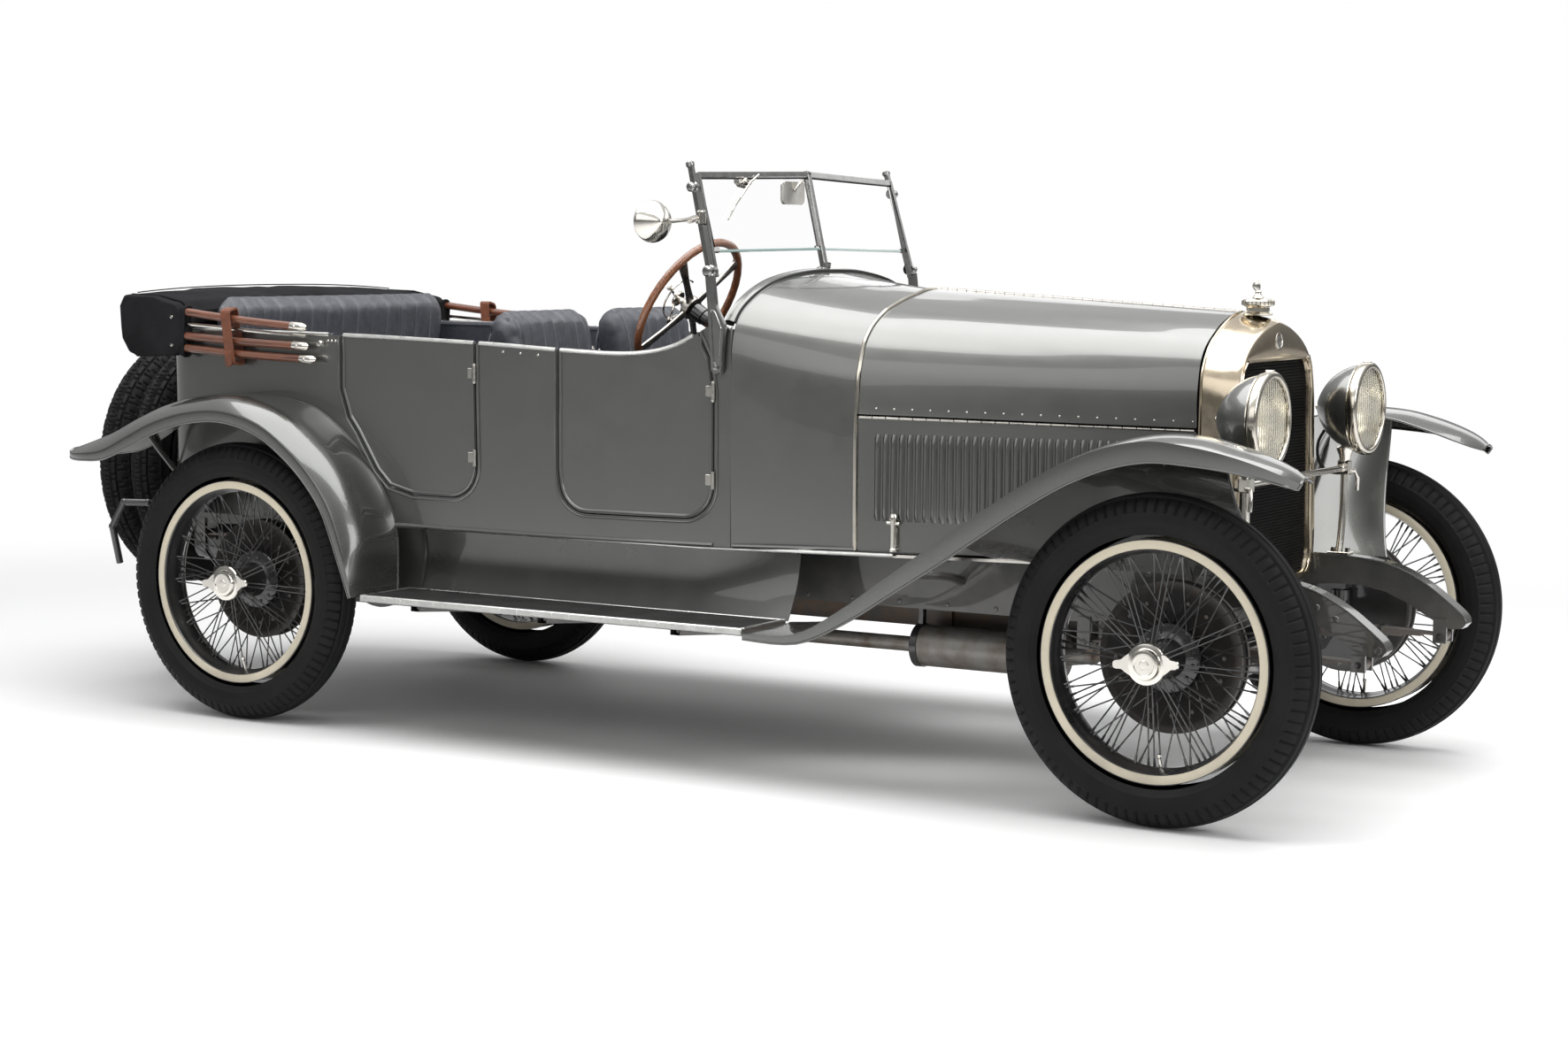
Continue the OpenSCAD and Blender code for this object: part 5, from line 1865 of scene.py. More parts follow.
@dataclass
class SidePlates:
    """Valances beside the running boards and aprons inside the front wings."""

    frame_y: float = 342.0
    frame_z: float = 578.0

    def valance(self) -> Draft:
        """Left valance between board and body."""
        rows = []
        for k in range(41):
            x = 430 + (1790 - 430) * k / 40
            b = 546 - max(0.0, x - 1500) * 0.2
            rows.append([(x, 554 + (b - 554) * u - 14 * math.sin(math.pi * u), 406 + 180 * u)
                         for u in (j / 10 for j in range(11))])
        return Draft().grid(rows)

    def apron(self, wing: Rows) -> Draft:
        """Left apron from the front wing's inner edge down to the frame.

        Args:
            wing: The wing's cross-sections.

        Returns:
            The apron's draft.
        """
        rows = []
        for i in range(19, 51):
            p = wing[i][-1]
            k = max(0.0, (i / 5 - 7) / 3)
            row = []
            for j in range(17):
                u = j / 16
                w = u + (u**1.5 - u) * k
                row.append((p[0] + 84 * k * u**2.2, p[1] - 4 + (self.frame_y - p[1] + 4) * w,
                            p[2] - 7 + (self.frame_z - p[2] + 7) * u - 90 * k * u * (1 - u)))
            rows.append(row)
        return Draft().grid(rows)

    def make(self, wing: Rows) -> None:
        """Builds both sides.

        Args:
            wing: The left front wing's cross-sections.
        """
        valance, apron = self.valance(), self.apron(wing)
        # The valances take the darkened body paint, painted shade.
        build(Draft().add(valance).add(valance, mirrored), "valance_plates", SHADED_VALANCE_PAINT,
              replaces=("valances",), solid=3)
        # The aprons take the darkened body paint, painted shade.
        build(Draft().add(apron).add(apron, mirrored), "front_wing_aprons", SHADED_WING_PAINT, solid=3)
        bead = Draft().tube([(x, 550 - max(0.0, x - 1500) * 0.2, 587) for x in range(446, 2084, 40)], 5.5,
                            10)
        build(Draft().add(bead).add(bead, mirrored), "valance_top_beads", ALLOY)
        edge = apron.points[-17:]
        rim = Draft().tube(edge, 3.5, 8)
        build(Draft().add(rim).add(rim, mirrored), "apron_wired_edges", SHADED_WING_PAINT)
        stay = Draft()
        stay.tube(smooth_curve([(2196, 330, 520), (2180, 420, 540), (2140, 560, 548), (2120, 690, 505)],
                               6), [15, 14, 13, 12] + [11] * 15, 8)
        stay.tube(smooth_curve([(2850, 336, 560), (2860, 420, 690), (2870, 520, 850), (2880, 660, 940)],
                               6), 9, 8)
        stay.tube(smooth_curve([(-330, 336, 560), (-400, 470, 640), (-420, 590, 760), (-410, 690, 858)],
                               6), 9, 8)
        build(Draft().add(stay).add(stay, mirrored), "wing_stays", FRAME_PAINT)


@dataclass
class RunningBoard:
    """Boards with a ribbed mat, alloy edging and brackets."""

    x0: float = 512.0
    x1: float = 1790.0
    y0: float = 560.0
    y1: float = 788.0
    top: float = 412.0
    thick: float = 19.0

    def make(self) -> None:
        """Builds both boards."""
        base, mat, edge, brackets = Draft(), Draft(), Draft(), Draft()
        base.block((self.x0 + 2, self.y0, self.top - self.thick), (self.x1 - 2, self.y1 - 3, self.top - 3),
                   1.5)
        ribs = 40
        rows = []
        profile = []
        for k in range(ribs * 4 + 1):
            y = self.y0 + 14 + (self.y1 - self.y0 - 34) * k / (ribs * 4)
            profile.append((y, self.top - 2.2 + (1.5 if k % 4 in (1, 2) else 0)))
        for x in (self.x0 + 14, (self.x0 + self.x1) / 2, self.x1 - 14):
            rows.append([(x, y, z) for y, z in profile])
        mat.grid(rows)
        edge.block((self.x0, self.y1 - 14, self.top - self.thick), (self.x1, self.y1, self.top + 0.0), 2.5)
        edge.block((self.x0, self.y0, self.top - 5), (self.x1, self.y0 + 12, self.top), 1.5)
        for x in (self.x0, self.x1 - 12):
            edge.block((x, self.y0 + 12, self.top - 5), (x + 12, self.y1 - 14, self.top), 1.5)
        for k in range(22):
            x = self.x0 + 30 + k * (self.x1 - self.x0 - 60) / 21
            edge.turned([(0, 1.2), (3, 1.0), (4, 0)], (x, self.y1, self.top - 9), (0, 1, 0), 10)
        for x in (690, 1130, 1565):
            brackets.grid([[(x - 20, 330, 470), (x + 20, 330, 470), (x + 20, 330, 430), (x - 20, 330, 430)],
                           [(x - 18, 540, 388), (x + 18, 540, 388), (x + 18, 540, 352), (x - 18, 540, 352)],
                           [(x - 15, 760, 388), (x + 15, 760, 388), (x + 15, 760, 374),
                            (x - 15, 760, 374)]], wrap_v=True)
            for y in (600, 740):
                brackets.turned([(0, -9), (7, -8), (8, -2), (8, 4)], (x, y, 386), (0, 0, 1), 6)
        for draft, name, finish, nodes in ((base, "running_board_planks", IRON, ("running_boards",)),
                                           (mat, "running_board_mats", MAT, ()),
                                           (edge, "running_board_edging", ALLOY, ()),
                                           (brackets, "running_board_brackets", FRAME_PAINT, ())):
            build(Draft().add(draft).add(draft, mirrored), name, finish, replaces=nodes, sharp=30, solid=0)


# ---------------------------------------------------------------- wheels


@dataclass
class WireWheel:
    """Wire wheel with its tyre, drawn about its own centre with the outer face towards +y."""

    tyre_radius: float = 410.0
    tyre_width: float = 120.0
    rim: float = 297.0
    spokes: int = 72
    pitches: int = 88

    def tyre(self, chunky: bool = False) -> Draft:
        """Tyre with a block tread and ribbed walls.

        Args:
            chunky: Whether the tread is the deeper, smaller-block kind.

        Returns:
            The tyre's draft.
        """
        half = self.tyre_width / 2
        centre = self.tyre_radius - half
        angles = [-a for a in np.linspace(-2.32, 2.32, 53)]
        per = 5
        steps = self.pitches * per
        rows = []
        for k in range(steps):
            phase = k % per
            w = math.tau * k / steps
            shift = (k // per) % 2
            row = []
            for a in angles:
                r = half * (1.0 if abs(a) > 0.75 else 1.0)
                deep = 0.0
                band = a / 0.95
                if abs(band) < 1.0:
                    lane = abs(band)
                    if chunky:
                        groove = lane > 0.10 and (abs(lane - 0.30) < 0.045 or abs(lane - 0.62) < 0.045)
                        cross = phase == (0 if (int(lane * 3) + shift) % 2 else 2) and lane > 0.08
                        zig = lane <= 0.10 and phase in (0, 3)
                        deep = 5.5 if groove or cross or zig else 0.0
                    else:
                        groove = abs(lane - 0.22) < 0.05 or abs(lane - 0.52) < 0.05
                        cross = phase == 0 and lane > 0.52
                        deep = 4.5 if groove or cross else 0.0
                elif abs(a) < 1.28:
                    deep = 4.0 if phase == 0 else -0.0
                elif 1.30 < abs(a) < 1.38 or 1.95 < abs(a) < 2.02:
                    deep = -1.4
                rr = r - deep - 0.4
                row.append(((centre + rr * math.cos(a)) * math.cos(w), rr * math.sin(a),
                            (centre + rr * math.cos(a)) * math.sin(w)))
            rows.append(row)
        return Draft().grid(rows, wrap_u=True)

    def rim_band(self) -> Draft:
        """Cream bands on both edges of the rim."""
        d = Draft()
        for s in (1, -1):
            loop = [(275, 45), (277, 47.6), (283, 48), (292, 48), (296.5, 46), (296.8, 41), (290, 38),
                    (276, 40)]
            d.turned([(r, s * h) for r, h in loop], (0, 0, 0), (0, 1, 0), 96, closed=True)
        return d

    def rim_well(self) -> Draft:
        """Black rim inside the bands, with its row of nipple seats."""
        loop = [(277, 44), (272, 40), (270, 30), (263, 14), (262, 0), (263, -14), (270, -30), (272, -40),
                (277, -44),
                (284, -40), (280, -26), (272, 0), (280, 26), (284, 40)]
        d = Draft().turned(smooth_curve(loop, 2, True), (0, 0, 0), (0, 1, 0), 96, closed=True)
        for s in (1, -1):
            d.turned([(297, s * 44), (299, s * 44), (299, s * 36), (297, s * 36)], (0, 0, 0), (0, 1, 0),
                     96, closed=True)
        return d

    def lacing(self) -> Draft:
        """Spokes and nipples: one row from the hub's nose, two crossing rows from its flange."""
        d = Draft()
        third = self.spokes // 3
        for k in range(self.spokes):
            row, n = k % 3, k // 3
            base = math.tau * n / third
            if row == 0:
                a0, a1, r0, y0, y1 = base, base + 0.10 * (1 if n % 2 else -1), 41.0, 50.0, -6.0
            else:
                lean = 0.42 if row == 1 else -0.42
                a0 = base + (0.09 if row == 1 else -0.09)
                a1, r0, y0, y1 = a0 + lean, 80.0, -53.0 + (3 if row == 1 else -3), 9.0 if row == 1 else 2.0
            p = Vector((r0 * math.cos(a0), y0, r0 * math.sin(a0)))
            q = Vector((262 * math.cos(a1), y1, 262 * math.sin(a1)))
            d.tube([p, q], 2.1, 6)
            d.tube([q + (p - q).normalized() * 20, q], [2.9, 3.8], 6)
            d.tube([p + (q - p).normalized() * -4, p + (q - p).normalized() * 2], 3.6, 6)
        return d

    def hub(self, spare: bool = False) -> Draft:
        """Hub barrel with its flange.

        Args:
            spare: Whether the hub is open at both ends.

        Returns:
            The hub's draft.
        """
        profile = [(24, -57), (60, -57), (84, -57), (86, -55), (86, -50), (84, -48), (58, -47), (50, -42),
                   (44, -30), (40, 0),
                   (38, 30), (40, 42), (44, 46), (44, 54), (40, 57), (40, 64 if not spare else 57),
                   (24, 64 if not spare else 57)]
        d = Draft().turned(profile, (0, 0, 0), (0, 1, 0), 48, closed=True)
        for k in range(12):
            a = math.tau * (k + 0.5) / 12
            d.turned([(0, -7), (5, -6), (6, 0)], (68 * math.cos(a), -50, 68 * math.sin(a)), (0, -1, 0), 8)
        return d

    def cap(self) -> Draft:
        """Two-eared knock-off cap with a plain stepped face."""
        d = Draft().turned([(44, 60), (46, 62), (50, 66), (52, 74), (52, 80), (50, 83), (46, 84), (40, 85),
                            (38, 90), (36, 94),
                            (30, 95.5), (27, 95.5), (25, 94), (12, 94), (10, 95.6), (0, 96)], (0, 0, 0),
                            (0, 1, 0), 48)
        for s in (1, -1):
            outline = [(s * 40, -24), (s * 52, -22), (s * 64, -13), (s * 78, -11), (s * 86, -6),
                       (s * 86, 6), (s * 78, 11),
                       (s * 64, 13), (s * 52, 22), (s * 40, 24)]
            d.slab(smooth_curve(outline, 3, True), 74, 84, lambda u, v, w: (u, w + 4 * (abs(u) > 70), v),
                   2.5)
        return d

    def drum(self, radius: float) -> Draft:
        """Brake drum with a stiffening bead and rivets.

        Args:
            radius: Its radius.

        Returns:
            The drum's draft.
        """
        r = radius
        d = Draft().turned([(60, -58), (80, -58), (84, -61), (r - 30, -61), (r - 22, -58), (r - 8, -58),
                            (r, -62), (r, -70), (r - 4, -73),
                            (r - 4, -100), (r, -102), (r, -112), (r - 9, -112), (r - 9, -68), (60, -68)],
                            (0, 0, 0), (0, 1, 0), 72, closed=True)
        for k in range(16):
            a = math.tau * k / 16
            d.turned([(0, 5), (5, 4), (7, 0)], ((r - 45) * math.cos(a), -61, (r - 45) * math.sin(a)),
                     (0, 1, 0), 8)
        return d

    def valve(self) -> Draft:
        """Valve stem on the rim."""
        return Draft().tube([(0, 14, -264), (0, 22, -236)], [5, 4], 10).turned(
            [(5, 0), (6, 2), (6, 9), (4, 11), (0, 12)], (0, 22, -236), (0, 0.25, 1), 12)

    def fit(self, name: str, body: str, nodes: tuple[str, str], to_car: Callable[[Point], Point],
            drum: float, chunky: bool = False) -> None:
        """Builds one wheel in its place.

        Args:
            name: Start of its pieces' names.
            body: The body it rides on.
            nodes: CAD nodes of the wheel and the tyre.
            to_car: Moves a point from the wheel to the car.
            drum: Radius of its brake drum, or 0 for a spare.
            chunky: Whether the tread is the small-block kind.
        """
        spare = drum == 0
        for part, finish, draft, node in (
                ("tyre", TREAD, self.tyre(chunky), (nodes[1],) if nodes[1] else ()),
                ("rim_bands", CREAM if not spare else BLACK, self.rim_band(),
                 (nodes[0],) if nodes[0] else ()),
                ("rim_well", BLACK, self.rim_well(), ()),
                ("spokes", BLACK, self.lacing(), ()),
                ("hub", BLACK, self.hub(spare), ()),
                ("valve", CHROME, self.valve(), ())):
            build(Draft().add(draft, to_car), f"{name}_{part}", finish, body, node, sharp=30)
        if not spare:
            build(Draft().add(self.cap(), to_car), name + "_knock_off_cap", CHROME, body, sharp=30)
            build(Draft().add(self.drum(drum), to_car), name + "_brake_drum", DRUM_IRON, body, sharp=30)

    def make(self) -> None:
        """Builds the four road wheels and the two spares."""
        for end, x, drum in (("front", WHEELBASE, 188.0), ("rear", 0.0, 176.0)):
            for side in Side:
                name = f"{end}_{side.word}_wheel"
                turn = 0.06

                def to_car(p: Point, x: float = x, s: int = side.value, w: float = turn) -> Point:
                    """Turns a wheel point about its axle and sets it on the car."""
                    u, v = p[0] * math.cos(w) - p[2] * math.sin(w), p[0] * math.sin(w) + p[2] * math.cos(w)
                    return (x + u, s * (HALF_TRACK + p[1]), AXLE_Z + v)

                self.fit(name, name, (name, name.replace("wheel", "tyre")), to_car, drum)
        for k, x in enumerate((-837.0, -703.0)):
            def to_tail(p: Point, x: float = x, w: float = 0.4 + k) -> Point:
                """Turns a spare's point and sets it behind the body."""
                u, v = p[0] * math.cos(w) - p[2] * math.sin(w), p[0] * math.sin(w) + p[2] * math.cos(w)
                return (x - p[1], u, 696 + v)

            nodes = ("spare_wheels", "spare_tyres") if k == 0 else ("", "")
            self.fit(f"spare_{k + 1}", "chassis", nodes, to_tail, 0.0, chunky=True)


# ---------------------------------------------------------------- cabin


@dataclass
class SteeringGear:
    """Hand wheel, column and the levers above its hub."""

    hub: Point = (1318.0, -320.0, 1235.0)
    rim: float = 215.0

    def to_car(self, p: Point) -> Point:
        """Moves a point from the hand wheel to the car; +z faces the driver.

        Args:
            p: The point on the hand wheel.

        Returns:
            The point in car millimetres.
        """
        c, s = math.cos(math.radians(60)), math.sin(math.radians(60))
        x, y, z = p
        return (self.hub[0] + x * c - z * s, self.hub[1] + y, self.hub[2] + x * s + z * c)

    def make(self) -> None:
        """Builds the hand wheel and the column."""
        rim = Draft()
        rows = []
        for k in range(144):
            a = math.tau * k / 144
            grip = 1.0 + 0.035 * math.cos(a * 36)
            rows.append([((self.rim - 12 + 12 * math.cos(b)) * math.cos(a),
                          (self.rim - 12 + 12 * math.cos(b)) * math.sin(a),
                          10.5 * grip * math.sin(b)) for b in (math.tau * j / 12 for j in range(12))])
        rim.grid(rows, wrap_u=True, wrap_v=True)
        build(Draft().add(rim, self.to_car), "steering_wheel_rim", RIM_WOOD, "steering_wheel",
              ("steering_wheel",))
        spider = Draft()
        for k in range(4):
            a = math.radians(45 + 90 * k)
            u, v = Vector((math.cos(a), math.sin(a))), Vector((-math.sin(a), math.cos(a)))
            rows = []
            for t in (k2 / 8 for k2 in range(9)):
                r = 22 + (self.rim - 30) * t
                w, h = 15 - 5 * math.sin(math.pi * min(t * 1.2, 1)) , 5.0
                z = -10 + 9 * t
                rows.append([(u.x * r + v.x * q * w, u.y * r + v.y * q * w, z + e * h) for q, e in
                             ((-1, -0.4), (-0.7, -1), (0.7, -1), (1, -0.4), (1, 0.4), (0.7, 1), (-0.7, 1),
                              (-1, 0.4))])
            spider.grid(rows, wrap_v=True).fan(rows[-1])
            end = u * (self.rim - 16)
            spider.turned([(8, 8.5), (7, 10.5), (0, 11)], (end.x, end.y, 0), (0, 0, 1), 10)
        spider.turned([(14, -20), (33, -18), (35, -10), (33, 2), (24, 8), (16, 10), (14, 18), (12, 20)],
                      (0, 0, 0), (0, 0, 1), 36)
        build(Draft().add(spider, self.to_car), "steering_wheel_spider", DULL_NICKEL, "steering_wheel")
        levers = Draft()
        levers.turned([(9, 10), (9, 34), (22, 36), (24, 40), (22, 44), (8, 46), (6, 50), (0, 51)],
                      (0, 0, 0), (0, 0, 1), 28)
        arc = [(62 * math.cos(a), 62 * math.sin(a), 38)
               for a in np.linspace(math.radians(150), math.radians(390), 24)]
        levers.tube(arc, 2.6, 8)
        for a, r in ((2.9, 78), (5.2, 72)):
            levers.tube([(0, 0, 46), (r * math.cos(a), r * math.sin(a), 46)], [4, 2.8], 8)
            levers.turned([(0, -8), (7, -7), (8, 0), (7, 7), (0, 8)],
                          (r * math.cos(a), r * math.sin(a), 46), (math.cos(a), math.sin(a), 0), 14)
        build(Draft().add(levers, self.to_car), "steering_column_levers", CHROME)
        column = Draft()
        column.turned([(21, -28), (25, -30), (25, -60), (21, -64), (21, -160), (24, -166), (24, -190),
                       (21, -196), (21, -690)],
                      (0, 0, 0), (0, 0, 1), 32)
        column.turned([(21, -300), (40, -306), (44, -316), (40, -326), (21, -332)], (0, 0, 0), (0, 0, 1),
                      32)
        build(Draft().add(column, self.to_car), "steering_column_tube", BLACK)
        bracket = Draft().block((-34, -30, -330), (34, 30, -300), 6)
        build(Draft().add(bracket, self.to_car), "steering_column_bracket", ALLOY)


@dataclass
class Upholstery:
    """Padded seats with pleats, piping and bases, puffed up by a short cloth run."""

    voxel: float = 13.0
    cap: float = 13.0
    pressure: float = 4.0
    mass: float = 0.4
    tension: float = 18.0
    bending: float = 3.0
    frames: int = 12

    def shell(self, outline: Sequence[tuple[float, float]], y0: float, y1: float, crown: float,
              across: int = 30) -> Draft:
        """Rounded bar of a side outline, narrower at both ends.

        Args:
            outline: Closed outline in x and z.
            y0: Right end.
            y1: Left end.
            crown: Radius of the ends' rounding.
            across: Number of sections.

        Returns:
            A closed draft.
        """
        loop = even_curve(outline, 64, closed=True)
        mid = np.mean(np.array(loop), 0)
        rows = []
        half, centre = (y1 - y0) / 2, (y0 + y1) / 2
        for k in range(across + 1):
            a = math.pi * k / across
            y = -math.cos(a)
            inset = crown * (1 - math.sqrt(max(0.0,
                                               1 - max(0.0, (abs(y) * half - half + crown) / crown) ** 2)))
            row = []
            for p in loop:
                d = np.array(p) - mid
                reach = np.linalg.norm(d)
                q = mid + d * (1 - inset / max(reach, inset + 1))
                row.append((float(q[0]), centre + y * half, float(q[1])))
            rows.append(row)
        return Draft().grid(rows, wrap_v=True).fan(rows[0]).fan(rows[-1])

    def puff(self, draft: Draft, name: str) -> bpy.types.Object:
        """Remeshes a closed form and swells it as stuffed cloth.

        Args:
            draft: The closed form.
            name: The piece's name.

        Returns:
            The swollen object, without a finish yet.
        """
        mesh = bpy.data.meshes.new(name)
        mesh.from_pydata([place(p) for p in draft.points], [], draft.faces)
        pad = bpy.data.objects.new(name, mesh)
        bpy.context.scene.collection.objects.link(pad)
        shape = bmesh.new()
        shape.from_mesh(mesh)
        bmesh.ops.remove_doubles(shape, verts=shape.verts, dist=1e-5)
        bmesh.ops.recalc_face_normals(shape, faces=shape.faces)
        shape.to_mesh(mesh)
        shape.free()
        change = pad.modifiers.new("remesh", "REMESH")
        change.mode = "VOXEL"
        change.voxel_size = self.voxel / 1000
        settle(pad)
        before = np.zeros(len(pad.data.vertices) * 3, np.float32)
        pad.data.vertices.foreach_get("co", before)
        before = before.reshape(-1, 3)
        cloth = pad.modifiers.new("stuffing", "CLOTH")
        cloth.settings.use_pressure = True
        cloth.settings.uniform_pressure_force = self.pressure
        cloth.settings.quality = 4
        cloth.settings.mass = self.mass
        cloth.settings.tension_stiffness = self.tension
        cloth.settings.bending_stiffness = self.bending
        cloth.settings.effector_weights.gravity = 0
        cloth.collision_settings.use_self_collision = False
        cloth.collision_settings.use_collision = False
        cloth.point_cache.frame_start = 1
        cloth.point_cache.frame_end = self.frames
        for step in range(1, self.frames + 1):
            bpy.context.scene.frame_set(step)
        settle(pad)
        bpy.context.scene.frame_set(1)
        after = np.zeros(len(pad.data.vertices) * 3, np.float32)
        pad.data.vertices.foreach_get("co", after)
        move = after.reshape(-1, 3) - before
        size = np.linalg.norm(move, axis=1, keepdims=True)
        limit = self.cap / 1000
        after = before + move * np.minimum(1.0, limit / np.maximum(size, 1e-9))
        pad.data.vertices.foreach_set("co", after.astype(np.float32).ravel())
        return pad

    def channels(self, pad: bpy.types.Object, pleats: Callable[[np.ndarray], np.ndarray]) -> None:
        """Presses sewn channels into a pad and smooths it once.

        Args:
            pad: The object.
            pleats: Gives how deep each point sinks, in millimetres, from car millimetres and normals.
        """
        change = pad.modifiers.new("smooth", "SUBSURF")
        change.levels = change.render_levels = 1
        settle(pad)
        n = len(pad.data.vertices)
        co, no = np.zeros(n * 3, np.float32), np.zeros(n * 3, np.float32)
        pad.data.vertices.foreach_get("co", co)
        pad.data.vertices.foreach_get("normal", no)
        co, no = co.reshape(-1, 3), no.reshape(-1, 3)
        car = co * 1000 - np.array([ORIGIN_X, 0, 0])
        co -= no * pleats(np.hstack([car, no]))[:, None] / 1000
        pad.data.vertices.foreach_set("co", co.ravel())
        pad.data.update()

    def pad(self, name: str, draft: Draft, pleats: Callable[[np.ndarray], np.ndarray], hide: Finish,
            nodes: tuple = ()) -> None:
        """One finished pad.

        Args:
            name: Its name.
            draft: Its closed starting form.
            pleats: Depth of its channels.
            hide: Its finish.
            nodes: CAD nodes it stands for.
        """
        pad = self.puff(draft, name)
        self.channels(pad, pleats)
        smooth(pad, 80)
        dress(pad, hide, "chassis", nodes)

    def lines(self, y0: float, pitch: float, low: float, deep: float = 7.0,
              face: int = 3) -> Callable[[np.ndarray], np.ndarray]:
        """Channels running up a pad at an even pitch.

        Args:
            y0: One channel's place across the car.
            pitch: Distance between channels.
            low: Height below which they fade.
            deep: Their depth.
            face: Column of the normal that picks the padded face (3 front, 5 top).

        Returns:
            The depth function.
        """
        def depth(p: np.ndarray) -> np.ndarray:
            """Depth of the channels at each point.

            Args:
                p: Points in car millimetres and normals.

            Returns:
                How deep each point sinks, in millimetres.
            """
            off = np.abs((p[:, 1] - y0 + pitch / 2) % pitch - pitch / 2)
            swell = 1.5 * np.cos(off / (pitch / 2) * math.pi)
            groove = np.exp(-((off / 5.0) ** 2)) * deep + swell
            facing = np.clip((p[:, face] + 0.15) / 0.35, 0, 1)
            side = np.clip((0.75 - np.abs(p[:, 4])) / 0.2, 0, 1)
            return groove * facing * side * np.clip((p[:, 2] - low) / 40, 0, 1)
        return depth

    def make(self) -> None:
        """Builds the two front seats and the rear seat."""
        back = rounded([(800, 655, 20), (868, 650, 20), (866, 860, 200), (800, 1232, 40), (722, 1222, 40),
                        (748, 860, 200)], 5)
        cushion = rounded([(884, 700, 26), (1286, 716, 40), (1296, 842, 46), (884, 816, 26)], 5)
        for side in Side:
            s = side.value
            y0, y1 = (72, 468) if s > 0 else (-468, -72)
            nodes = ("front_seats",) if s > 0 else ()
            self.pad(f"front_seat_back_{side.word}", self.shell(back, y0 - 14, y1 + 14, 66),
                     self.lines(0, 54, 700), FRONT_HIDE, nodes)
            self.pad(f"front_seat_cushion_{side.word}", self.shell(cushion, y0 + 2, y1 - 2, 50),
                     self.lines(0, 54, 600, face=5), FRONT_HIDE)
            base = Draft()
            for x, y in ((920, y0 + 30), (1240, y0 + 30), (920, y1 - 30), (1240, y1 - 30)):
                base.tube([(x, y, 607), (x, y, 700)], 9, 12)
            base.block((896, y0 + 12, 668), (1276, y1 - 12, 690), 6)
            base.block((880, y0 + 10, 607), (1290, y0 + 36, 622), 3)
            base.block((880, y1 - 36, 607), (1290, y1 - 10, 622), 3)
            build(base, f"front_seat_frame_{side.word}", BLACK)
            pipe = Draft()
            arc = rounded([(y0 + 2, 680, 40), (y1 - 2, 680, 40), (y1 - 2, 1190, 110), (y0 + 2, 1190, 110)],
                          8)
            line = [(np.interp(z, (680, 860, 1200), (735, 738, 722)), y, z) for y, z in arc]
            pipe.tube(line, 5.5, 8, closed=True)
            build(pipe, f"front_seat_piping_{side.word}", PIPING)
        back = rounded([(-318, 670, 20), (-240, 660, 20), (-236, 860, 200), (-202, 1214, 44),
                        (-232, 1262, 18), (-250, 1250, 10),
                        (-256, 1120, 60), (-318, 1000, 60)], 5)
        cushion = rounded([(-212, 690, 26), (186, 716, 40), (200, 846, 46), (-212, 810, 26)], 5)
        # The rear seat back and cushion take the lightened hide, painted light.
        self.pad("rear_seat_back", self.shell(back, -538, 538, 66, 60), self.lines(0, 74, 700), LIT_REAR_HIDE,
                 ("rear_seat",))
        self.pad("rear_seat_cushion", self.shell(cushion, -516, 516, 60, 60),
                 self.lines(0, 74, 600, face=5), LIT_REAR_HIDE)
        base = Draft().block((-205, -515, 607), (182, 515, 700), 8)
        build(base, "rear_seat_box", CARPET)


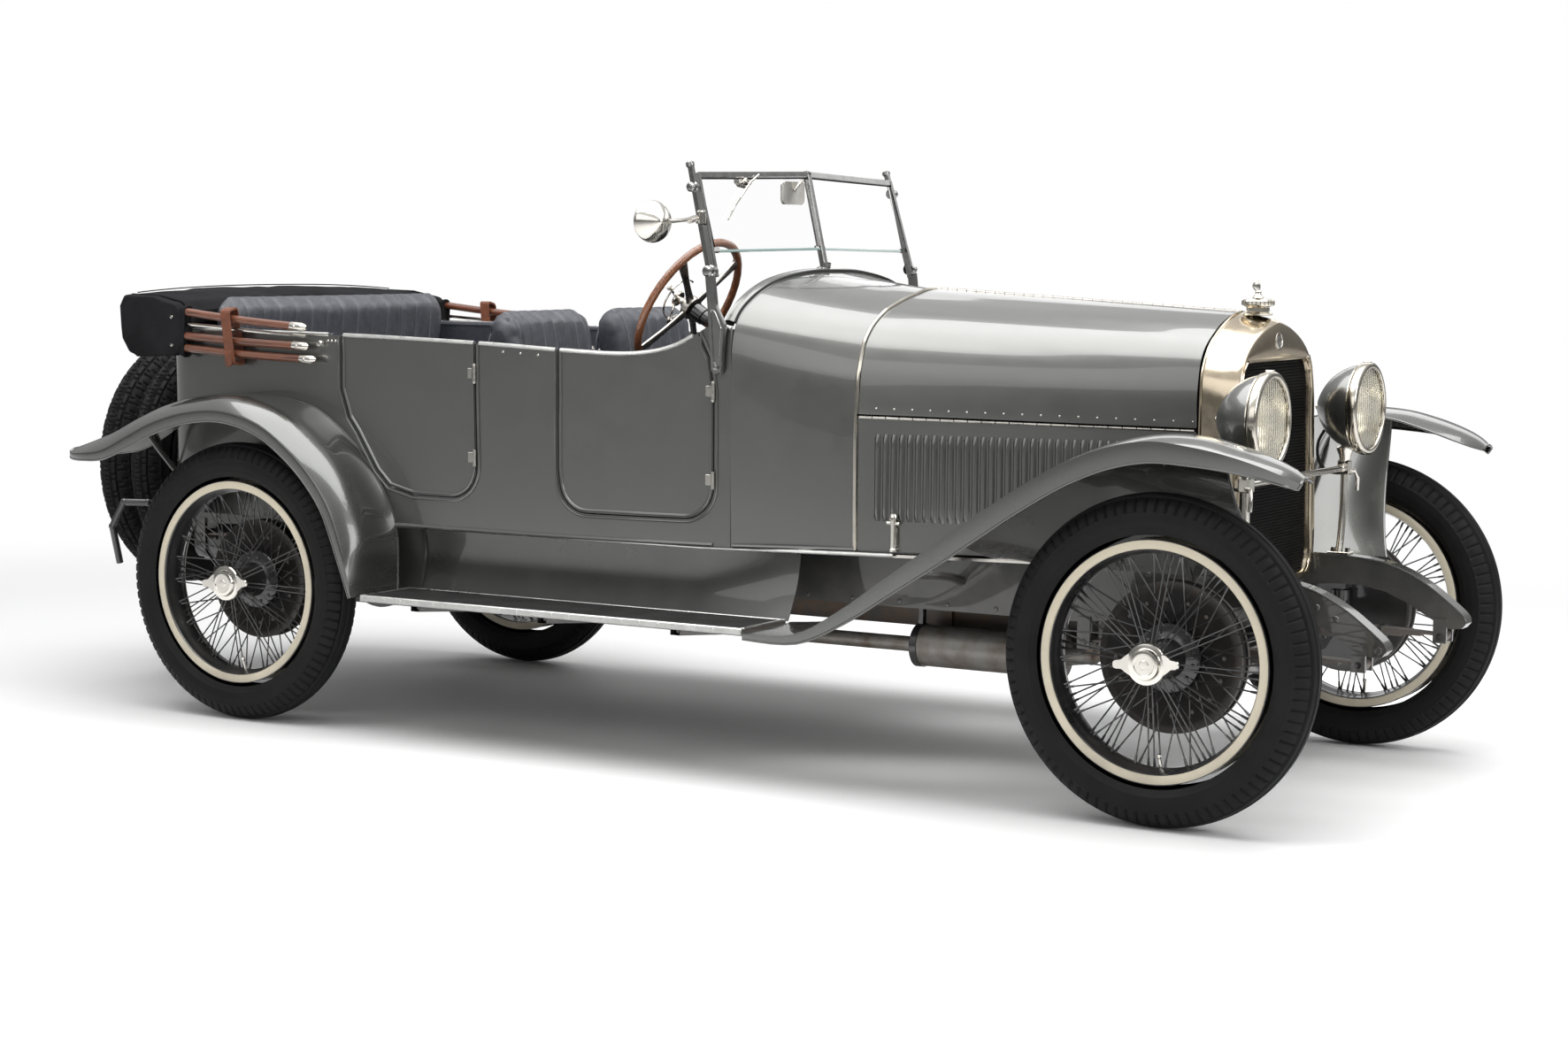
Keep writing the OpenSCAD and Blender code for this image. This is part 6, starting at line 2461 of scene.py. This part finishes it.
@dataclass
class FoldedHood:
    """Canvas bag over the folded hood, with its bows and straps."""

    bow_y: float = 630.0

    def section(self, y: float) -> list[tuple[float, float]]:
        """Closed section of the bag in x and z at a place across the car.

        Args:
            y: Place across the car.

        Returns:
            The section's points.
        """
        t = abs(y) / 645
        end = ease(0.90, 0.965, t)
        crown = 1 - t**2.5
        top_front, top_rear = 1222 + 20 * crown, 1244 + 22 * crown
        low_rear = 1104 - 6 * end
        floor = 1154 - 92 * end
        front = -276 - 8 * crown
        corners = [(-300 - 10 * end, floor + 2, 18), (front, floor + 40, 26),
                   (front - 4, top_front - 30, 26), (-310, top_front, 26),
                   (-400, (top_front + top_rear) / 2 + 6, 60), (-520, top_rear - 2, 14),
                   (-537, top_rear - 34, 14), (-531, low_rear + 14, 16),
                   (-504, low_rear - 2 - 30 * end, 14),
                   (-468, floor - 6 if end > 0.5 else low_rear + 4, 14)]
        if end <= 0.5:
            corners += [(-462, 1150, 10)]
        return rounded(corners, 5)

    def make(self) -> None:
        """Builds the bag, its hem, the bows, sleeves and straps."""
        rows = []
        ys = [-645, -643, -638, -628] + list(np.linspace(-616, 616, 57)) + [628, 638, 643, 645]
        for y in ys:
            shrink = {645: 0.93, 643: 0.975, 638: 0.99}.get(abs(int(y)), 1.0) if abs(y) > 630 else 1.0
            loop = even_curve(self.section(min(abs(y), 640)), 84, closed=True)
            start = min(range(84), key=lambda i: loop[i][1] + loop[i][0] * 0.4)
            loop = loop[start:] + loop[:start]
            mid = np.mean(np.array(loop), 0)
            row = []
            for x, z in loop:
                q = mid + (np.array([x, z]) - mid) * shrink
                slack = 3.2 * math.sin(y * 0.017 + x * 0.012) * math.sin(z * 0.021 + 1.0)
                sag = slack + 2.0 * math.sin(y * 0.043 + 0.6) * math.sin(x * 0.05)
                pinch = 5.0 * math.exp(-(((abs(y) - 380) / 26) ** 2)) + 4.0 * math.exp(-((y / 24) ** 2))
                scale = 1 - (pinch - sag) / 110 * (1 if z > 1165 or x < -480 else 0.2)
                q = mid + (q - mid) * min(scale, 1.015)
                row.append((float(q[0]), float(y), float(q[1])))
            rows.append(row)
        bag = build(Draft().grid(rows, wrap_v=True).fan(rows[0]).fan(rows[-1]), "hood_bag_canvas", CANVAS,
                    replaces=("hood_bag",),
                    subdivide=1, sharp=80)
        seams = Draft()
        for y in (-606, 606):
            loop = even_curve(self.section(y), 84, closed=True)
            seams.tube([(x, y + math.copysign(3, y), z) for x, z in loop if z > 1100], 3.0, 6)
        top = [(-505 + 3, y, 1247 + 22 * (1 - (abs(y) / 645) ** 2.5)) for y in np.linspace(-600, 600, 40)]
        seams.tube(top, 1.8, 6)
        build(seams, "hood_bag_seams", CANVAS)
        hem = Draft()
        for s in (1, -1):
            loop = rounded([(609, 1064, 8), (641, 1064, 12), (641, 1212, 14), (609, 1212, 8)], 5)
            hem.tube([(-281 + (z - 1130) * 0.06, s * y, z) for y, z in loop], 5.0, 10, closed=True)
            hem.slab([(y, z) for y, z in loop], -300, -284, lambda u, v, w, s=s: (w, s * u, v))
        build(hem, "hood_bag_hems", CANVAS)
        studs = Draft()
        for s in (1, -1):
            for z in (1096, 1180):
                studs.turned([(0, 4), (5, 3.4), (6.5, 0), (6.5, -3)], (-322, s * 645, z), (0, s, 0), 16)
        build(studs, "hood_bag_studs", CHROME)
        self.bows()

    def bows(self) -> None:
        """Wooden bows with plated ends, and the straps that hold them."""
        wood, nickel, strap = Draft(), Draft(), Draft()
        for s in (1, -1):
            y = s * self.bow_y
            for (x0, z0), (x1, z1), r in (((-278, 1196), (160, 1160), 12), ((-278, 1124), (168, 1104), 12),
                                          ((-278, 1088), (196, 1066), 12)):
                n = 14
                wood.tube([(x0 + (x1 - x0) * t, y, z0 + (z1 - z0) * t - 3 * math.sin(math.pi * t))
                           for t in (k / n for k in range(n + 1))], r, 12)
                d = Vector((x1 - x0, 0, z1 - z0)).normalized()
                a = Vector((x1, y, z1))
                nickel.tube([a - d * 26, a - d * 24, a + d * 14, a + d * 24, a + d * 30],
                            [12.8, 13.2, 13.2, 10, 4], 16)
                nickel.turned([(0, 3), (4, 2), (5, 0)], a - d * 8 + Vector((0, s * 13, 0)), (0, s, 0), 8)
            nickel.tube([(-278, y, 1160), (190, y, 1132)], 5.5, 10)
            nickel.turned([(0, 5), (8, 4), (10, 0), (10, -12)], (228, y - s * 14, 1112), (0, s, 0), 16)
            path = rounded([(s * 606, 1042, 8), (s * 650, 1042, 14), (s * 652, 1205, 14),
                            (s * 612, 1215, 10)], 5)
            mid = np.mean(np.array(path), 0)
            inner = [tuple(mid + (np.array(p) - mid) * 0.93) for p in path]
            rings = ((-113, inner), (-113, path), (-77, path), (-77, inner))
            rows = [[(x - (zz - 1120) * 0.12, yy, zz) for yy, zz in ring] for x, ring in rings]
            strap.grid(rows, wrap_u=True, wrap_v=True)
            strap.slab(rounded([(-108, 1085, 2), (-80, 1085, 2), (-78, 1036, 13), (-104, 1036, 13)], 6),
                       649, 653, lambda u, v, w, s=s: (u, s * w, v), 0.8)
        build(wood, "hood_bow_bars", WOOD, replaces=("hood_bows",))
        build(nickel, "hood_bow_fittings", CHROME)
        build(strap, "hood_straps", STRAP, sharp=50)


# ---------------------------------------------------------------- chassis and setting


@dataclass
class Underpinnings:
    """Finishes for the carried-over chassis, and its leaves, bolts and straps."""

    rail_y: float = 311.0

    def leaves(self) -> None:
        """Stacked leaf springs with clips and eye bolts."""
        springs, clips = Draft(), Draft()
        for x, half, ze, zc, count, thick in ((WHEELBASE, 372, 384, 394, 6, 6.6),
                                              (0.0, 500, 486, 502, 7, 6.2)):
            for s in (1, -1):
                y = s * self.rail_y
                for n in range(count):
                    reach = half * (1 - n / (count + 0.6))
                    rows = []
                    for k in range(25):
                        u = -1 + 2 * k / 24
                        px = u * reach
                        z = ze + (zc - ze) * (1 - (px / half) ** 2) + 5 - n * thick
                        w = 19.5 * (1 if abs(u) < 0.97 else 0.8)
                        rows.append([(x + px, y - w, z), (x + px, y + w, z),
                                     (x + px, y + w, z - thick + 0.5), (x + px, y - w, z - thick + 0.5)])
                    springs.grid(rows, wrap_v=True).fan(rows[0]).fan(rows[-1])
                for k in (-1, 1):
                    springs.turned([(9, -20), (17, -20), (17, 20), (9, 20)], (x + k * half, y, ze),
                                   (0, 1, 0), 24, closed=True)
                    clips.turned([(0, 34), (8, 33), (9, 28), (9, -28), (8, -33), (0, -34)],
                                 (x + k * half, y, ze), (0, 1, 0), 12)
                    cx = x + k * half * 0.55
                    z = ze + (zc - ze) * (1 - 0.3025) + 5
                    clips.block((cx - 7, y - 23, z - 30), (cx + 7, y + 23, z + 3), 2)
                for dx in (-34, 34):
                    clips.tube([(x + dx, y - 24, zc - 46), (x + dx, y - 24, zc + 8),
                                (x + dx, y + 24, zc + 8), (x + dx, y + 24, zc - 46)], 5, 8)
        build(springs, "leaf_spring_leaves", IRON, replaces=("leaf_springs",), sharp=30)
        build(clips, "leaf_spring_clips", BLACK)

    def trim(self) -> None:
        """Rivets, bolts, straps and pipes along the chassis."""
        bits, rods, bands = Draft(), Draft(), Draft()
        for s in (1, -1):
            out = s * (self.rail_y + 23)
            for x in list(range(-600, 2800, 145)):
                for z in ((572, 534) if x < 640 else (572, 452)):
                    bits.turned([(0, 3), (5, 2.2), (7, 0)], (x, out, z), (0, s, 0), 8)
            for x, z in ((3060, 556), (3150, 536), (3190, 520), (3240, 494)):
                bits.turned([(0, 3), (6, 2.2), (8, 0)], (x, out, z), (0, s, 0), 10)
            bits.turned([(0, 9), (9, 8), (11, 4), (11, 0)], (3352, out, 424), (0, s, 0), 6)
            rods.tube([(640, s * 262, 470), (2560, s * 262, 452)], 5, 8)
        for x in (-560, -380):
            ring = rounded([(-266, 396, 44), (266, 396, 44), (266, 539, 44), (-266, 539, 44)], 6)
            rows = [[(x + dx, y * k, 467.5 + (z - 467.5) * k) for y, z in ring] for dx,
                    k in ((-12, 0.99), (-12, 1.012), (12, 1.012), (12, 0.99))]
            bands.grid(rows, wrap_u=True, wrap_v=True)
        for x in (2010, 2425):
            bands.turned([(56, -10), (60, -10), (60, 10), (56, 10)], (x, -205, 318), (1, 0, 0), 40,
                         closed=True)
            bands.block((x - 8, -215, 374), (x + 8, -195, 440), 2)
        build(bits, "chassis_rivets", FRAME_PAINT, sharp=40)
        build(rods, "brake_rods", STEEL)
        build(bands, "tank_and_silencer_bands", BLACK, sharp=40)
        rail = Draft()
        profile = [(2929, 587), (3040, 582), (3134, 573), (3200, 553), (3260, 522), (3320, 479),
                   (3360, 446), (3371, 430)]
        for s in (1, -1):
            dense = smooth_curve(profile, 4)
            rows = [[(x, s * (self.rail_y - 25), z - 1), (x, s * (self.rail_y - 24), z + 1.5),
                     (x, s * (self.rail_y + 24), z + 1.5), (x, s * (self.rail_y + 25), z - 1),
                     (x, s * (self.rail_y + 24), z - 4), (x, s * (self.rail_y - 24), z - 4)] for x,
                     z in dense]
            rail.grid(rows, wrap_v=True)
        # The flange tops take the wing grey, lighter than the frame paint: painted highlight where light
        # falls on the top of the dumb irons.
        build(rail, "dumb_iron_flanges", SHADED_WING_PAINT, sharp=30)

    def controls(self) -> None:
        """Pedals, gear lever and handbrake on the floor."""
        black, bright = Draft(), Draft()
        for y in (-390, -310, -240):
            black.tube(smooth_curve([(1640, y, 606), (1620, y, 680), (1585, y, 735)], 6), 6, 10)
            bright.slab(rounded([(-24, -30, 8), (24, -30, 8), (24, 30, 8), (-24, 30, 8)], 5), -3, 5,
                        lambda u, v, w, y=y: (1578 + v * 0.5 - w * 0.86, y + u, 742 + v * 0.86 + w * 0.5),
                        2)
        black.tube(smooth_curve([(1400, -100, 606), (1380, -100, 720), (1350, -105, 830)], 8), 8, 12)
        black.turned([(0, 22), (14, 18), (19, 4), (14, -12), (8, -18)], (1350, -105, 846), (-0.2, 0, 1), 24)
        black.turned([(34, 0), (30, 14), (14, 24), (9, 40)], (1400, -100, 606), (0, 0, 1), 28)
        bright.tube(smooth_curve([(1440, -140, 606), (1410, -142, 740), (1376, -144, 880)], 8),
                    [8] * 12 + [9] * 5, 12)
        bright.tube([(1372, -144, 860), (1366, -144, 900)], 4, 8)
        build(black, "pedal_arms_and_gear_lever", BLACK, replaces=("controls",))
        build(bright, "pedal_pads_and_handbrake", CHROME)

    def make(self, nodes: dict[str, bpy.types.Object]) -> None:
        """Dresses the carried-over CAD nodes and adds the loose fittings.

        Args:
            nodes: The frame's CAD nodes.
        """
        for name, finish in (("chassis_frame", FRAME_PAINT), ("front_axle", BLACK), ("rear_axle", BLACK),
                             ("engine_block", IRON),
                             ("exhaust", PIPE), ("fuel_tank", BLACK), ("left_knuckle", BLACK),
                             ("right_knuckle", BLACK),
                             ("track_rod", BLACK), ("handle_guide", FRAME_PAINT), ("spare_carrier", BLACK),
                             ("steering_column", BLACK), ("floor", CARPET)):
            mesh = nodes[name].data
            mesh.materials.clear()
            mesh.materials.append(finish.material())
        self.leaves()
        self.trim()
        self.controls()


@dataclass
class Studio:
    """Camera, pale floor, soft lamps and white surroundings."""

    spot: Point = (5681.9, -7000.3, 1408.9)
    heading: float = 31.21
    dip: float = 5.60
    roll: float = 0.34
    lens: float = 65.22
    sensor: float = 36.0
    far_clip: float = 200.0
    ambient: float = 0.42

    def camera(self) -> None:
        """Sets up the camera."""
        data = bpy.data.cameras.new("camera")
        data.lens = self.lens
        data.sensor_width = self.sensor
        data.clip_end = self.far_clip
        eye = bpy.data.objects.new("camera", data)
        bpy.context.scene.collection.objects.link(eye)
        level = Matrix.Rotation(math.radians(self.heading), 4, "Z")
        tilt = Matrix.Rotation(math.radians(90 - self.dip), 4, "X")
        turn = level @ tilt @ Matrix.Rotation(math.radians(self.roll), 4, "Z")
        eye.matrix_world = Matrix.Translation(place(self.spot)) @ turn
        bpy.context.scene.camera = eye

    def lamp(self, name: str, at: Point, aim: Point, size: tuple[float, float], power: float) -> None:
        """One soft rectangular lamp.

        Args:
            name: Its name.
            at: Its place in metres.
            aim: Where it points, in metres.
            size: Its width and height in metres.
            power: Its power in watts.
        """
        data = bpy.data.lights.new(name, "AREA")
        data.shape = "RECTANGLE"
        data.size, data.size_y = size
        data.energy = power
        lamp = bpy.data.objects.new(name, data)
        bpy.context.scene.collection.objects.link(lamp)
        lamp.location = at
        lamp.rotation_euler = (Vector(aim) - Vector(at)).to_track_quat("-Z", "Y").to_euler()

    def larger(self, tree: bpy.types.NodeTree, a: bpy.types.NodeSocket,
               b: bpy.types.NodeSocket) -> bpy.types.NodeSocket:
        """The larger of two values.

        Args:
            tree: The node tree.
            a: First value.
            b: Second value.

        Returns:
            The larger value.
        """
        node = tree.nodes.new("ShaderNodeMath")
        node.operation = "MAXIMUM"
        tree.links.new(a, node.inputs[0])
        tree.links.new(b, node.inputs[1])
        return node.outputs[0]

    def surroundings(self) -> None:
        """White backdrop to the camera and through glass, shaded towards the ground in gloss."""
        world = bpy.data.worlds.new("studio")
        bpy.context.scene.world = world
        world.use_nodes = True
        tree = world.node_tree
        plain = tree.nodes["Background"]
        plain.inputs["Color"].default_value = (1, 1, 1, 1)
        where = tree.nodes.new("ShaderNodeTexCoord")
        split = tree.nodes.new("ShaderNodeSeparateXYZ")
        tree.links.new(where.outputs["Generated"], split.inputs[0])
        rise = tree.nodes.new("ShaderNodeMapRange")
        rise.interpolation_type = "SMOOTHSTEP"
        for key, value in (("From Min", 0.0), ("From Max", 0.8), ("To Min", 0.16), ("To Max", 0.85)):
            rise.inputs[key].default_value = value
        tree.links.new(split.outputs["Z"], rise.inputs["Value"])
        plain.inputs["Strength"].default_value = self.ambient
        white = tree.nodes.new("ShaderNodeBackground")
        white.inputs["Color"].default_value = (1, 1, 1, 1)
        path = tree.nodes.new("ShaderNodeLightPath")
        clear = self.larger(tree, path.outputs["Is Camera Ray"], path.outputs["Is Transmission Ray"])
        shown = self.larger(tree, clear, path.outputs["Is Glossy Ray"])
        tree.links.new(self.larger(tree, clear, rise.outputs["Result"]), white.inputs["Strength"])
        mix = tree.nodes.new("ShaderNodeMixShader")
        tree.links.new(shown, mix.inputs[0])
        tree.links.new(plain.outputs[0], mix.inputs[1])
        tree.links.new(white.outputs[0], mix.inputs[2])
        tree.links.new(mix.outputs[0], tree.nodes["World Output"].inputs["Surface"])

    def floor(self) -> None:
        """Wide pale floor that fades to white away from the car."""
        mesh = bpy.data.meshes.new("studio_floor")
        ring = [(40 * math.cos(a), 40 * math.sin(a), 0) for a in (math.tau * k / 64 for k in range(64))]
        mesh.from_pydata(ring, [], [tuple(range(64))])
        floor = bpy.data.objects.new("studio_floor", mesh)
        bpy.context.scene.collection.objects.link(floor)
        shader = Shader("studio_floor")
        shader.put(Base_Color=(0.90, 0.90, 0.90, 1), Roughness=0.55, Specular_IOR_Level=0.3)
        tree = shader.tree
        length = tree.nodes.new("ShaderNodeVectorMath")
        length.operation = "LENGTH"
        shader.link(shader.stretched((0.8, 1.0, 1.0)), length.inputs[0])
        far = tree.nodes.new("ShaderNodeMapRange")
        far.interpolation_type = "SMOOTHSTEP"
        for key, value in (("From Min", 2.2), ("From Max", 5.2), ("To Min", 0.0), ("To Max", 1.0)):
            far.inputs[key].default_value = value
        shader.link(length.outputs["Value"], far.inputs["Value"])
        path = tree.nodes.new("ShaderNodeLightPath")
        seen = shader.math("MULTIPLY", far.outputs["Result"],
                           shader.math("MAXIMUM", path.outputs["Is Camera Ray"],
                                       path.outputs["Is Transmission Ray"]))
        glow = tree.nodes.new("ShaderNodeEmission")
        glow.inputs["Strength"].default_value = 1.0
        mix = tree.nodes.new("ShaderNodeMixShader")
        shader.link(seen, mix.inputs[0])
        shader.link(shader.surface.outputs[0], mix.inputs[1])
        shader.link(glow.outputs[0], mix.inputs[2])
        shader.link(mix.outputs[0], tree.nodes["Material Output"].inputs["Surface"])
        mesh.materials.append(shader.material)

    def make(self) -> None:
        """Builds the camera, floor, lamps and world."""
        self.camera()
        self.surroundings()
        self.floor()
        self.lamp("overhead", (0.4, -0.4, 4.6), (0.2, 0, 0.6), (7.5, 4.6), 400)
        self.lamp("near_side", (0.5, -6.5, 3.6), (0.3, 0, 0.7), (7.0, 2.6), 60)
        self.lamp("front", (6.5, -1.0, 3.2), (1.2, 0, 0.7), (3.0, 2.2), 90)
        self.lamp("far_side", (0.0, 6.0, 3.6), (0.2, 0, 0.7), (7.0, 2.0), 50)
        scene = bpy.context.scene
        scene.view_settings.view_transform = "Standard"


def main() -> None:
    """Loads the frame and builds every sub-assembly."""
    logging.basicConfig(level=logging.INFO, format="%(name)s %(message)s")
    random.seed(7)
    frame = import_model()
    Studio().make()
    BodyShell().make()
    Cowl().make()
    Bonnet().make()
    Radiator().make()
    Headlamps().make()
    Windscreen().make()
    wing = FRONT_WING.make()
    REAR_WING.make()
    SidePlates().make(wing)
    RunningBoard().make()
    WireWheel().make()
    SteeringGear().make()
    Upholstery().make()
    FoldedHood().make()
    Underpinnings().make(frame["nodes"])
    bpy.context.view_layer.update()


if __name__ == "__main__":
    main()
